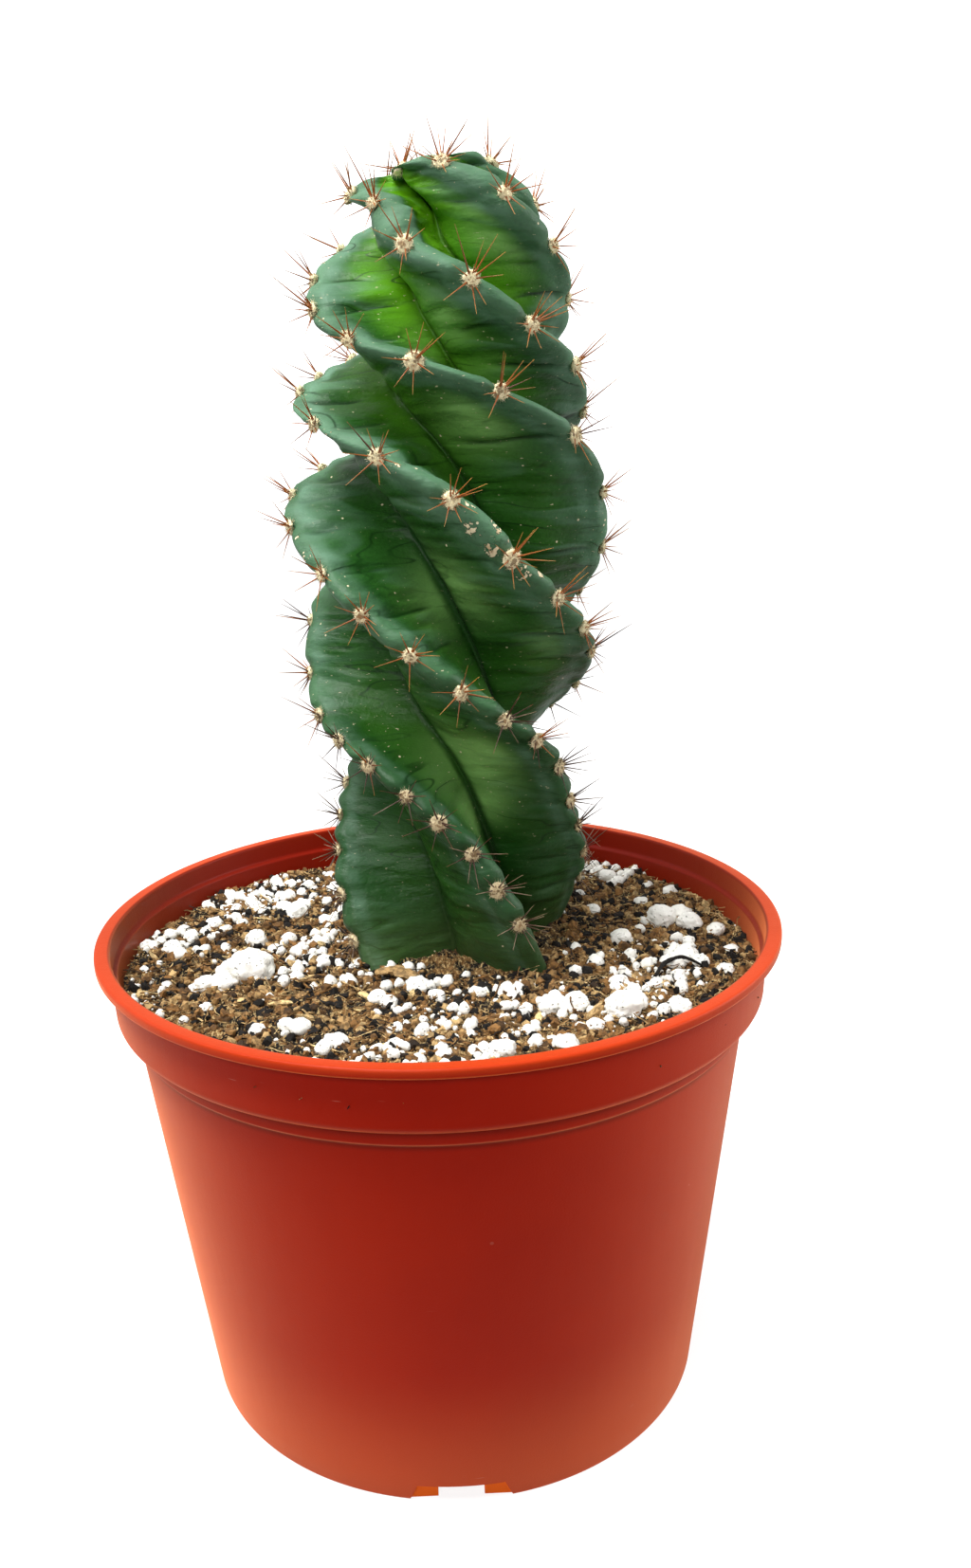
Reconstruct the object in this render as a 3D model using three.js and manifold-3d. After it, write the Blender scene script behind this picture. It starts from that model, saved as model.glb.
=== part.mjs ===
// A potted spiral cactus: one four-ribbed column, grown in a left-handed twist, standing in
// peat and perlite in a round nursery pot.
// Millimetres, +Z up. The origin is the middle of the pot's foot, on the surface it stands on.

import * as THREE from 'three';
import { mergeVertices } from 'three/addons/utils/BufferGeometryUtils.js';
import Module from 'manifold-3d';

const wasm = await Module();
wasm.setup();

// Clearance between neighbouring pieces, and the wider one round the buried stem
const GAP = 0.45;
const STEM_GAP = 0.7;
// Sides of everything that is turned about the pot's axis
const TURN_SIDES = 44;

// The pot: radii and heights of its lip, collar, belt, wall and foot; drops are from the top
const POT = {
  height: 116,
  rim: 80,
  rimInner: 76.5,
  lipDepth: 2.2,
  collarTop: 77,
  collarFoot: 76.4,
  collarDrop: 15.9,
  belt: 73.4,
  beltDrop: 20.4,
  wallTop: 72.1,
  foot: 61.4,
  footInner: 57.9,
  footHeight: 3.4,
  wall: 1.5,
  floor: 1.6,
  ledgeDrop: 5.5,
  edge: 0.5,
  floorBevel: 1.4,
};

// Drain notches round the foot: an outer recess and a narrower gap through to the floor
const NOTCH = {
  count: 4,
  widthBelow: 23,
  widthAbove: 19.5,
  recessDepth: 1.8,
  gapWidth: 10.3,
  gapHeight: 4.4,
  gapDepth: 16,
  slotInner: 49,
  slotHeight: 4,
  overshoot: 4,
};

// The soil: its height at the wall, and the mound that rises towards the stem
const SOIL = {
  height: 106,
  mound: 2.2,
  moundReach: 34,
  coarse: 0.63,
  fine: 0.45,
  edge: 0.25,
  rings: [67, 58, 49, 40, 30],
};
const CRUMBS = { count: 26, smallest: 3.2, largest: 6.4, inner: 34, outer: 71 };

// A lump: how far its corners vary from round, how narrow and flat it may be, the width from
// which it has more corners, and how much of it stands clear of the soil
const LUMP = { uneven: 0.12, narrow: 0.8, flat: 0.72, large: 8, lift: 0.12, step: 0.33, pocket: 2.4 };

// Perlite drifts: each starts with a lump at [x, y, width], and every next lump
// [direction in degrees, width] touches the one before it
const DRIFTS = [
  { start: [-44, -11, 13], next: [[215, 7.5], [180, 6]] },
  { start: [-45, 10, 6.5], next: [] },
  { start: [-37, 29, 7.5], next: [[140, 5.5]] },
  { start: [-65, 6, 6], next: [[300, 5]] },
  { start: [-22, -48, 6], next: [[225, 4.6]] },
  { start: [-14, -28, 5], next: [[320, 4]] },
  { start: [-30, -41, 5.5], next: [[160, 4.4]] },
  { start: [12, -55, 6.4], next: [] },
  { start: [25, -54, 6], next: [] },
  { start: [24, -34, 7.5], next: [[350, 7.5]] },
  { start: [39, -39, 9.5], next: [[48, 5.4]] },
  { start: [51, -38, 6.4], next: [] },
  { start: [54, -14, 7], next: [[40, 7.5], [310, 5]] },
  { start: [44, -1, 6], next: [] },
  { start: [56, 13, 9], next: [[18, 7], [290, 7]] },
  { start: [47, 45, 5.6], next: [[315, 4.6]] },
];

// The stem by level, from its buried end to its tip: height and x of its middle, how far the
// level tips up to the right for each millimetre, crest radius in the notches, furrow radius, half
// a crest's width, by how many degrees the furrows lean to the rib below, and how far each of the
// four ribs has turned, in degrees. The twist is uneven: the ribs run nearly level where they pass
// the left and right. At the tip the stem bends to the left.
const LEVELS = [
  [81, 6.2, 0, 9, 4, 2.4, 0, [800, 806, 804, 801]],
  [87, 6.2, 0, 21, 7, 3, 0, [782, 788, 786, 783]],
  [96, 6.2, 0, 26, 8.6, 3.2, 0, [765, 771, 769, 765]],
  [110, 6.2, 0, 28.6, 9.6, 3.2, -2, [745, 755, 750, 745]],
  [125, 6.2, 0, 29.6, 10.5, 3.3, -4, [728, 739, 735, 727]],
  [140, 5.8, 0, 27.8, 11, 3.4, -8, [704, 721, 712, 707]],
  [155, 5.2, 0, 27.6, 11, 3.5, -9, [685, 684, 673, 680]],
  [170, 4.8, 0, 31.4, 11, 3.6, -6, [644, 628, 614, 640]],
  [185, 5, 0, 33.4, 11.5, 3.7, -3, [610, 609, 573, 599]],
  [200, 5.5, 0, 34.6, 12, 3.8, -5, [576, 570, 541, 563]],
  [213, 5.7, 0, 34.3, 12, 3.8, -16, [532, 529, 529, 541]],
  [225, 5.4, 0, 32.4, 11.5, 3.8, -19, [465, 475, 503, 502]],
  [236, 5.3, 0, 30.2, 10.5, 3.8, -18, [420, 436, 457, 434]],
  [246, 5.8, 0, 29.2, 10, 3.8, -3, [384, 394, 400, 379]],
  [254, 6.2, 0, 27.4, 9, 4, -6, [369, 370, 373, 356]],
  [262, 6.7, 0, 23.6, 8, 4.4, -18, [336, 337, 343, 327]],
  [269, 7.5, 0.02, 20.4, 6.5, 4.8, -20, [308, 320, 310, 287]],
  [274.3, 4.4, 0.12, 16, 4.6, 4.6, -6, [293, 281, 278, 278]],
  [277.4, 2, 0.22, 9.8, 2.8, 3.6, 8, [263, 266, 258, 259]],
  [274.6, 0.4, 0.3, 3, 1.6, 1.5, 0, [236, 245, 241, 249]],
].map(([height, middle, tilt, crest, furrow, half, lean, turns]) => {
  return { height, middle, tilt, crest, furrow, half, lean, turns };
});
const TIP_PIT = 0.8;
// The level up to which the stem stands in the soil, and the lowest its tip's ribs point from
const SOIL_LEVEL = 4;
const TIP_HEART = 264;
const STEM_X = 6.2;
const STEM_Y = 5;

const RIBS = 4;
const ROW_STEP = 4.6;
const BURIED_STEP = 8;
const CAP_STEPS = 2;
const FLANK_STEPS = 2;
// Between two areoles the crest puffs out and widens. Each rib's lower flank bulges over its furrow
const PUFF = 0.9;
const TIP_PUFF = 0.6;
const WIDEN = 0.16;
const UNDER_BULGE = 0.13;
// A furrow keeps clear by this much more than a flank where the section is grown
const FURROW_GROW = 1.6;

// Areoles: the distance of each rib's first one from the crest's end at the tip, and then of each
// from the one above it, down the crest
const AREOLE_STEPS = [
  [5, 11, 14, 16, 18, 16, 16, 16, 17, 16, 16, 15, 18, 13, 13, 13, 12, 11, 13, 11, 9, 11, 10, 10],
  [2, 10, 13, 14, 15, 15, 18, 19, 16, 17, 17, 16, 17, 17, 13, 14, 10, 10, 11, 9, 10, 10, 10, 11, 10],
  [9, 14, 15, 14, 12, 15, 15, 18, 21, 19, 14, 17, 12, 12, 12, 12, 12, 12, 13, 9, 9, 11, 11, 10],
  [5, 11, 13, 15, 16, 15, 16, 12, 11, 24, 19, 17, 17, 15, 14, 12, 18, 11, 11, 11, 10, 10, 10, 10],
];
const LOWEST_AREOLE = 111;
const PAD = { radius: 1.8, rise: 1.6, sides: 4 };

// Spines: the last one of an areole stands out from it and the others spread round it, at these
// angles in radians above the pad. The oldest areoles, low on the stem, have shorter ones.
const SPINE = {
  count: 3,
  shortest: 5.5,
  longest: 10,
  radius: 0.55,
  root: 0.9,
  apart: 1,
  upright: 1.2,
  spread: [0.5, 0.75],
  scatter: 0.6,
  oldLength: 0.72,
  oldBelow: 110,
  youngAbove: 200,
  clearOfSoil: 3,
};
const SEED = { spines: 5, crumbs: 11, perlite: 100 };

// A repeatable draw of numbers from 0 to 1
function randomFrom(seed) {
  let state = seed;
  return () => {
    state = (state + 0x6d2b79f5) | 0;
    let t = Math.imul(state ^ (state >>> 15), 1 | state);
    t = (t + Math.imul(t ^ (t >>> 7), 61 | t)) ^ t;
    return ((t ^ (t >>> 14)) >>> 0) / 4294967296;
  };
}

const GOLDEN_TURN = Math.PI * (3 - Math.sqrt(5));
const degrees = THREE.MathUtils.degToRad;
const lerp = THREE.MathUtils.lerp;
const clamp = THREE.MathUtils.clamp;
const inverseLerp = THREE.MathUtils.inverseLerp;

// A smooth curve through four neighbouring values
function smoothThrough(p0, p1, p2, p3, t) {
  const linear = p2 - p0;
  const square = 2 * p0 - 5 * p1 + 4 * p2 - p3;
  const cube = 3 * p1 - 3 * p2 + p3 - p0;
  return 0.5 * (2 * p1 + linear * t + square * t * t + cube * t * t * t);
}

// The stem's sizes at a place between two levels
function levelAt(place) {
  const last = LEVELS.length - 1;
  const i = clamp(Math.floor(place), 0, last - 1);
  const t = place - i;
  const around = [i - 1, i, i + 1, i + 2].map((j) => LEVELS[clamp(j, 0, last)]);
  const blend = (pick) => smoothThrough(...around.map(pick), t);
  return {
    height: blend((row) => row.height),
    middle: blend((row) => row.middle),
    tilt: blend((row) => row.tilt),
    crest: blend((row) => row.crest),
    furrow: blend((row) => row.furrow),
    half: blend((row) => row.half),
    lean: blend((row) => row.lean),
    turns: LEVELS[0].turns.map((_, rib) => blend((row) => row.turns[rib])),
  };
}

// Direction of a rib's crest at a level, in degrees about the stem
function crestAngle(level, rib) {
  return level.turns[rib] - rib * (360 / RIBS);
}

function stemPoint(level, angle, along, across) {
  const cos = Math.cos(degrees(angle));
  const sin = Math.sin(degrees(angle));
  const right = along * cos - across * sin;
  const back = along * sin + across * cos;
  return new THREE.Vector3(level.middle + right, STEM_Y + back, level.height + level.tilt * right);
}

function crestPoint(place, rib) {
  const level = levelAt(place);
  return stemPoint(level, crestAngle(level, rib), level.crest, 0);
}

// Places of a rib's areoles, walked down the crest from the tip
function areolePlaces(rib) {
  const places = [];
  const step = 0.01;
  const steps = [...AREOLE_STEPS[rib]];
  let next = steps.shift();
  let walked = 0;
  let here = crestPoint(LEVELS.length - 1, rib);
  for (let place = LEVELS.length - 1 - step; place > 0; place -= step) {
    const below = crestPoint(place, rib);
    walked += below.distanceTo(here);
    here = below;
    if (walked >= next) {
      places.push(place);
      next += steps.shift() ?? Infinity;
    }
  }
  return places;
}

const AREOLES = Array.from({ length: RIBS }, (_, rib) => areolePlaces(rib));

// How far the crest swells at a place: 0 at an areole, 1 half way to the next
function puffAt(place, rib) {
  const places = AREOLES[rib];
  const next = places.findIndex((at) => at <= place);
  if (next <= 0) return next === 0 ? TIP_PUFF : 0;
  const share = (places[next - 1] - place) / (places[next - 1] - places[next]);
  return Math.sin(Math.PI * share);
}

// One side of a rib's section at a level, from the middle of its crest to the furrow
function halfSection(level, puff, side, grow) {
  const crest = level.crest + PUFF * puff + grow;
  const half = level.half * (1 + WIDEN * (puff - TIP_PUFF)) + grow;
  const furrow = (level.furrow + grow * FURROW_GROW) / Math.SQRT2;
  const cap = Math.min(0.9 * half, 0.4 * (crest - furrow));
  const points = [];
  for (let i = 0; i <= CAP_STEPS; i += 1) {
    const angle = (i / CAP_STEPS) * (Math.PI / 2);
    points.push([crest - cap * (1 - Math.cos(angle)), half * Math.sin(angle)]);
  }
  const start = crest - cap;
  const bulge = side < 0 ? UNDER_BULGE * (start - furrow) : 0;
  for (let i = 1; i <= FLANK_STEPS; i += 1) {
    const t = i / FLANK_STEPS;
    const across = lerp(level.half + grow, furrow, t) + bulge * Math.sin(Math.PI * t);
    points.push([lerp(start, furrow, t), across]);
  }
  return points;
}

// One closed ring round the stem at a place, counter-clockwise seen from above. The furrow
// between two ribs lies half way, turned by the level's lean.
function stemRing(place, grow) {
  const level = levelAt(place);
  const ring = [];
  for (let quarter = 0; quarter < RIBS; quarter += 1) {
    const rib = (RIBS - quarter) % RIBS;
    const puff = puffAt(place, rib);
    const sideOf = (side) => {
      const neighbour = (rib + RIBS - side) % RIBS;
      const pull = (level.turns[neighbour] - level.turns[rib]) / 2 + level.lean;
      const section = halfSection(level, puff, side, grow);
      const outermost = section[0][0];
      const innermost = Math.hypot(...section[section.length - 1]);
      return section.map(([along, across]) => {
        const inward = (outermost - Math.hypot(along, across)) / (outermost - innermost);
        const angle = crestAngle(level, rib) + pull * clamp(inward, 0, 1) ** 1.5;
        return stemPoint(level, angle, along, side * across);
      });
    };
    ring.push(...sideOf(-1).slice(1, -1).reverse(), ...sideOf(1));
  }
  return ring;
}

// Rows of the stem, about one step apart, from its buried end to a last place
function stemRows(lastPlace) {
  const rows = [];
  for (let i = 0; i < lastPlace; i += 1) {
    const step = LEVELS[i + 1].height > SOIL.height ? ROW_STEP : BURIED_STEP;
    const steps = Math.max(1, Math.round(crestStep(i) / step));
    for (let j = 0; j < steps; j += 1) rows.push(i + j / steps);
  }
  rows.push(lastPlace);
  return rows;
}

function crestStep(i) {
  const below = LEVELS[i];
  const above = LEVELS[i + 1];
  return Math.hypot(above.height - below.height, above.crest - below.crest);
}

// The closed skin of the stem between its buried end and a last place
function stemGeometry(lastPlace, grow = 0) {
  const rings = stemRows(lastPlace).map((place) => stemRing(place, grow));
  for (const point of rings[0]) point.z -= grow;
  const sides = rings[0].length;
  const bottom = ringCentre(rings[0]);
  const top = ringCentre(rings[rings.length - 1]);
  if (lastPlace === LEVELS.length - 1) top.z -= TIP_PIT;
  const points = [bottom, ...rings.flat(), top];
  const faces = [];
  const at = (row, side) => 1 + row * sides + (side % sides);
  for (let side = 0; side < sides; side += 1) {
    faces.push(0, at(0, side + 1), at(0, side));
    for (let row = 0; row < rings.length - 1; row += 1) {
      faces.push(at(row, side), at(row, side + 1), at(row + 1, side + 1));
      faces.push(at(row, side), at(row + 1, side + 1), at(row + 1, side));
    }
    faces.push(at(rings.length - 1, side), at(rings.length - 1, side + 1), points.length - 1);
  }
  const geometry = new THREE.BufferGeometry().setFromPoints(points);
  geometry.setIndex(faces);
  return geometry;
}

function ringCentre(ring) {
  const sum = ring.reduce((total, point) => total.add(point), new THREE.Vector3());
  return sum.divideScalar(ring.length);
}

// A closed geometry as a solid that can be joined and cut
function solid(geometry) {
  const bare = geometry.index ? geometry.toNonIndexed() : geometry.clone();
  bare.deleteAttribute('normal');
  bare.deleteAttribute('uv');
  const merged = mergeVertices(bare, 1e-4);
  const vertProperties = new Float32Array(merged.attributes.position.array);
  const triVerts = new Uint32Array(merged.index.array);
  return new wasm.Manifold(new wasm.Mesh({ numProp: 3, vertProperties, triVerts }));
}

// The largest body of a solid: loose scraps are dropped
function largestBody(whole) {
  const bodies = whole.decompose();
  return bodies.reduce((most, body) => (body.volume() > most.volume() ? body : most));
}

function meshOf(name, whole, material) {
  const { vertProperties, triVerts } = whole.getMesh();
  const geometry = new THREE.BufferGeometry();
  geometry.setAttribute('position', new THREE.BufferAttribute(vertProperties, 3));
  geometry.setIndex(new THREE.BufferAttribute(triVerts, 1));
  geometry.computeVertexNormals();
  const mesh = new THREE.Mesh(geometry, material);
  mesh.name = name;
  return mesh;
}

// A profile of [radius, height] turned about the pot's axis
function turned(profile) {
  const points = profile.map(([radius, height]) => new THREE.Vector2(radius, height));
  return new THREE.LatheGeometry(points, TURN_SIDES).rotateX(Math.PI / 2);
}

// The pot's inner face from the floor to the ledge under the rim
function potInside(clearance = 0) {
  const step = POT.height - POT.collarDrop;
  const floor = POT.footHeight + POT.floor;
  const slope = (POT.wallTop - POT.foot) / (POT.height - POT.beltDrop);
  const inner = (height) => POT.foot + slope * height - POT.wall;
  return [
    [inner(floor) - POT.floorBevel, floor + clearance],
    [inner(floor) - clearance, floor + POT.floorBevel],
    [inner(POT.height - POT.beltDrop) - clearance, POT.height - POT.beltDrop],
    [POT.belt - POT.wall - clearance, step - 0.6],
    [POT.collarFoot - POT.wall - 0.2 - clearance, step + 1.6],
    [POT.collarTop - POT.wall - 0.3 - clearance, POT.height - POT.ledgeDrop],
  ];
}

function potSolid() {
  const { height, rim, rimInner, lipDepth, footHeight, footInner, edge } = POT;
  const collar = height - POT.collarDrop;
  const belt = height - POT.beltDrop;
  const profile = [
    [0, footHeight],
    [footInner, footHeight],
    [footInner, 0],
    [POT.foot, 0],
    [POT.wallTop, belt],
    [POT.belt - 0.3, belt + 0.8],
    [POT.belt, collar],
    [POT.collarFoot - 1.1, collar],
    [POT.collarFoot, collar + 1.2],
    [POT.collarTop, height - lipDepth],
    [rim - edge, height - lipDepth],
    [rim, height - lipDepth + edge],
    [rim, height - edge],
    [rim - edge, height],
    [rimInner + edge, height],
    [rimInner, height - edge],
    [POT.collarTop - POT.wall + edge, height - POT.ledgeDrop + edge],
    ...potInside().reverse(),
    [0, footHeight + POT.floor],
  ];
  let pot = solid(turned(profile));
  for (let i = 0; i < NOTCH.count; i += 1) {
    const angle = (i / NOTCH.count) * 2 * Math.PI;
    for (const cut of [notchRecess(), ...notchGap()]) {
      pot = pot.subtract(solid(cut.rotateZ(angle)));
    }
  }
  return pot;
}

// The wide outer part of a notch, on the side that faces -Y
function notchRecess() {
  const below = NOTCH.widthBelow / 2;
  const above = NOTCH.widthAbove / 2;
  const drop = 1;
  const flare = ((below - above) * drop) / NOTCH.gapHeight;
  const shape = new THREE.Shape();
  shape.moveTo(-below - flare, -drop);
  shape.lineTo(below + flare, -drop);
  shape.lineTo(above, NOTCH.gapHeight);
  shape.lineTo(-above, NOTCH.gapHeight);
  shape.closePath();
  const far = POT.foot + NOTCH.overshoot;
  const near = POT.foot - NOTCH.recessDepth;
  const geometry = new THREE.ExtrudeGeometry(shape, { depth: far - near, bevelEnabled: false });
  return geometry.rotateX(Math.PI / 2).translate(0, -near, 0);
}

// The gap behind it, through the foot ring, and the slot that it opens in the floor
function notchGap() {
  const ring = new THREE.BoxGeometry(NOTCH.gapWidth, NOTCH.gapDepth, NOTCH.gapHeight + 1);
  ring.translate(0, -POT.foot, (NOTCH.gapHeight - 1) / 2);
  const slotDepth = POT.footInner - NOTCH.slotInner;
  const slot = new THREE.BoxGeometry(NOTCH.gapWidth, slotDepth, NOTCH.slotHeight);
  slot.translate(0, -(POT.footInner + NOTCH.slotInner) / 2, POT.footHeight + POT.floor / 2);
  return [ring, slot];
}

// Height of the soil's surface: a low mound round the stem and an uneven crust
function soilHeight(x, y) {
  const away = Math.hypot(x - STEM_X, y - STEM_Y) / SOIL.moundReach;
  const mound = SOIL.mound * Math.exp(-away * away);
  const coarse = Math.sin(x * 0.17 + 1.3 * Math.sin(y * 0.11)) * Math.cos(y * 0.15 - 0.7);
  const fine = Math.sin(x * 0.41 + y * 0.23) * Math.sin(y * 0.37 - x * 0.19 + 2);
  return SOIL.height + mound + SOIL.coarse * coarse + SOIL.fine * fine;
}

function soilBed() {
  const wall = potInside(GAP);
  const side = wall.slice(0, -1);
  const [rimRadius] = wall[wall.length - 2];
  const profile = [[0, wall[0][1]], ...side, [rimRadius + SOIL.edge, SOIL.height]];
  profile.push(...SOIL.rings.map((radius) => [radius, SOIL.height]), [0, SOIL.height]);
  const bed = turned(profile);
  const spots = bed.attributes.position;
  for (let i = 0; i < spots.count; i += 1) {
    if (spots.getZ(i) > SOIL.height - 0.01) {
      spots.setZ(i, soilHeight(spots.getX(i), spots.getY(i)));
    }
  }
  return solid(bed);
}

// An angular lump with uneven corners
function pebble(width, random, detail = 0) {
  const geometry = new THREE.IcosahedronGeometry(width / 2, detail);
  const bare = geometry.clone();
  bare.deleteAttribute('normal');
  bare.deleteAttribute('uv');
  const merged = mergeVertices(bare, 1e-3);
  const spots = merged.attributes.position;
  for (let i = 0; i < spots.count; i += 1) {
    const swell = 1 + LUMP.uneven * (2 * random() - 1);
    spots.setXYZ(i, spots.getX(i) * swell, spots.getY(i) * swell, spots.getZ(i) * swell);
  }
  merged.rotateX(random() * Math.PI).rotateZ(random() * Math.PI);
  return merged.scale(1, lerp(LUMP.narrow, 1, random()), LUMP.flat);
}

// Crumbs of bark and small perlite grains, half sunk in the soil
function soilCrumbs() {
  const random = randomFrom(SEED.crumbs);
  const crumbs = [];
  for (let i = 0; i < CRUMBS.count; i += 1) {
    const angle = i * GOLDEN_TURN + random() * 0.4;
    const share = Math.sqrt((i + 0.5) / CRUMBS.count);
    const radius = lerp(CRUMBS.inner, CRUMBS.outer, share);
    const width = lerp(CRUMBS.smallest, CRUMBS.largest, random() ** 2);
    const x = radius * Math.cos(angle);
    const y = radius * Math.sin(angle);
    crumbs.push(solid(pebble(width, random).translate(x, y, soilHeight(x, y))));
  }
  return crumbs;
}

// The lumps of a drift as [x, y, width], each beside the one before
function driftLumps({ start, next }) {
  const lumps = [start];
  for (const [direction, width] of next) {
    const [x, y, before] = lumps[lumps.length - 1];
    const away = LUMP.step * (before + width);
    const turn = degrees(direction);
    lumps.push([x + away * Math.cos(turn), y + away * Math.sin(turn), width]);
  }
  return lumps;
}

// One drift of perlite; grown a little, it is the pocket that the drift lies in
function driftSolid(drift, seed, grow = 0) {
  const random = randomFrom(seed);
  const solids = driftLumps(drift).map(([x, y, width]) => {
    const lump = pebble(width, random, width > LUMP.large ? 1 : 0);
    const larger = 1 + (LUMP.pocket * grow) / width;
    const height = soilHeight(x, y) + LUMP.lift * width;
    return solid(lump.scale(larger, larger, larger).translate(x, y, height));
  });
  return wasm.Manifold.union(solids);
}

// Where an areole sits: its centre, the way it faces and the way the crest runs
function areoleFrame(place, rib) {
  const centre = crestPoint(place, rib);
  const down = crestPoint(place - 0.1, rib);
  const along = centre.clone().sub(down).normalize();
  const { middle } = levelAt(place);
  const heart = new THREE.Vector3(middle, STEM_Y, Math.min(centre.z, TIP_HEART));
  const out = centre.clone().sub(heart);
  out.addScaledVector(along, -out.dot(along)).normalize();
  const side = new THREE.Vector3().crossVectors(out, along);
  return { centre, out, along, side };
}

function placeAlong(geometry, centre, xAxis, yAxis, zAxis) {
  const basis = new THREE.Matrix4().makeBasis(xAxis, yAxis, zAxis).setPosition(centre);
  return geometry.applyMatrix4(basis);
}

function padSolid({ centre, out, along, side }) {
  const pad = new THREE.ConeGeometry(PAD.radius, PAD.rise, PAD.sides).rotateX(Math.PI / 2);
  return solid(placeAlong(pad, centre, along, side, out));
}

// A three-sided needle from its root in the stem to its tip
function spineSolid(root, tip) {
  const length = root.distanceTo(tip);
  const needle = new THREE.ConeGeometry(SPINE.radius, length, 3).translate(0, length / 2, 0);
  const turn = new THREE.Quaternion();
  turn.setFromUnitVectors(new THREE.Vector3(0, 1, 0), tip.clone().sub(root).normalize());
  needle.applyQuaternion(turn).translate(root.x, root.y, root.z);
  return solid(needle);
}

function spinesOf({ centre, out, along, side }, random) {
  const age = clamp(inverseLerp(SPINE.oldBelow, SPINE.youngAbove, centre.z), 0, 1);
  const longest = lerp(SPINE.oldLength, 1, age) * SPINE.longest;
  const start = random() * 2 * Math.PI;
  const spines = [];
  for (let i = 0; i < SPINE.count; i += 1) {
    const upright = i === SPINE.count - 1;
    const even = (i / (SPINE.count - 1)) * 2 * Math.PI;
    const round = start + even + (random() - 0.5) * SPINE.scatter;
    const rise = upright ? SPINE.upright : lerp(...SPINE.spread, random());
    const flat = along.clone().multiplyScalar(Math.cos(round));
    flat.addScaledVector(side, Math.sin(round));
    const way = out.clone().multiplyScalar(Math.sin(rise)).addScaledVector(flat, Math.cos(rise));
    const root = centre.clone().addScaledVector(flat, upright ? 0 : SPINE.apart);
    root.addScaledVector(way, -SPINE.root);
    const length = lerp(SPINE.shortest, longest, random()) + SPINE.root;
    const tip = root.clone().addScaledVector(way, length);
    tip.z = Math.max(tip.z, soilHeight(tip.x, tip.y) + SPINE.clearOfSoil);
    spines.push(spineSolid(root, tip));
  }
  return spines;
}

function cactusSolid() {
  const random = randomFrom(SEED.spines);
  const pieces = [solid(stemGeometry(LEVELS.length - 1))];
  AREOLES.forEach((places, rib) => {
    for (const place of places) {
      const frame = areoleFrame(place, rib);
      if (frame.centre.z < LOWEST_AREOLE) continue;
      pieces.push(padSolid(frame), ...spinesOf(frame, random));
    }
  });
  return largestBody(wasm.Manifold.union(pieces));
}

function soilSolid() {
  const hole = solid(stemGeometry(SOIL_LEVEL, STEM_GAP));
  let soil = wasm.Manifold.union([soilBed(), ...soilCrumbs()]);
  soil = soil.subtract(hole);
  DRIFTS.forEach((drift, i) => {
    soil = soil.subtract(driftSolid(drift, SEED.perlite + i, GAP));
  });
  return largestBody(soil);
}

const plastic = new THREE.MeshStandardMaterial({ color: 0xb4492b, roughness: 0.38, metalness: 0 });
const peat = new THREE.MeshStandardMaterial({ color: 0x4a3221, roughness: 0.95, metalness: 0 });
const skin = new THREE.MeshStandardMaterial({ color: 0x2f5e43, roughness: 0.5, metalness: 0 });
const perlite = new THREE.MeshStandardMaterial({ color: 0xece9e2, roughness: 0.9, metalness: 0 });

const plant = new THREE.Group();
plant.add(meshOf('pot', potSolid(), plastic));
plant.add(meshOf('soil', soilSolid(), peat));
plant.add(meshOf('cactus', cactusSolid(), skin));
DRIFTS.forEach((drift, i) => {
  const name = `perlite_${String(i + 1).padStart(2, '0')}`;
  plant.add(meshOf(name, driftSolid(drift, SEED.perlite + i), perlite));
});

export default plant;
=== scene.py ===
"""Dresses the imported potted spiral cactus: its skin, wool, spines, soil, perlite and pot.

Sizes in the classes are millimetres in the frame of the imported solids: +Z up, the origin under
the middle of the pot's foot, -Y towards the camera. Meshes are made in metres.
"""

import logging
import math
from collections.abc import Iterable, Sequence
from dataclasses import dataclass
from enum import Enum

import bmesh
import bpy
import numpy as np
from mathutils import Matrix, Vector, noise


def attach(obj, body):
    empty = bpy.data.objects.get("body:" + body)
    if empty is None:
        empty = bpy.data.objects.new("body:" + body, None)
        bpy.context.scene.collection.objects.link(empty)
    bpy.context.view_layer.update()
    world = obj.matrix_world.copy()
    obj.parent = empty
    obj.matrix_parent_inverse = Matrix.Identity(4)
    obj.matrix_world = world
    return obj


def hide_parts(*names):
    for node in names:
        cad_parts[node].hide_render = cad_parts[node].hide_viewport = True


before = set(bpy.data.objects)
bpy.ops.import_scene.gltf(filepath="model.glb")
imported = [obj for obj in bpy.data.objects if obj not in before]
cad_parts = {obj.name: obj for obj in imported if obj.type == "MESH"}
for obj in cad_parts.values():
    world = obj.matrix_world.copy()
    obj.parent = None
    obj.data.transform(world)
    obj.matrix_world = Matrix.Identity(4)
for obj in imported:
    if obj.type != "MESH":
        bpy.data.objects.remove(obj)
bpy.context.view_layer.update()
LOG = logging.getLogger("spiral_cactus")
MM = 0.001
FULL_TURN = 2 * math.pi


class Slot(Enum):
    """The record's material slots."""

    POT = "pot_plastic"
    SOIL = "potting_mix"
    PLANT = "cactus_skin"
    PERLITE = "perlite"


# Arithmetic on arrays


def smooth(low: float, high: float, value: np.ndarray) -> np.ndarray:
    """Rises from 0 at low to 1 at high, with flat ends.

    Args:
        low: the value where the rise starts.
        high: the value where it ends.
        value: the array to read.

    Returns:
        An array of the same shape, from 0 to 1.
    """
    t = np.clip((value - low) / (high - low), 0.0, 1.0)
    return t * t * (3.0 - 2.0 * t)


def bell(offset: np.ndarray, width: float) -> np.ndarray:
    """A soft peak of height 1 at offset 0."""
    return np.exp(-((offset / width) ** 2))


def unit(vectors: np.ndarray) -> np.ndarray:
    """The vectors of an array's last axis at length 1."""
    length = np.linalg.norm(vectors, axis=-1, keepdims=True)
    return vectors / np.maximum(length, 1e-9)


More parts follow.
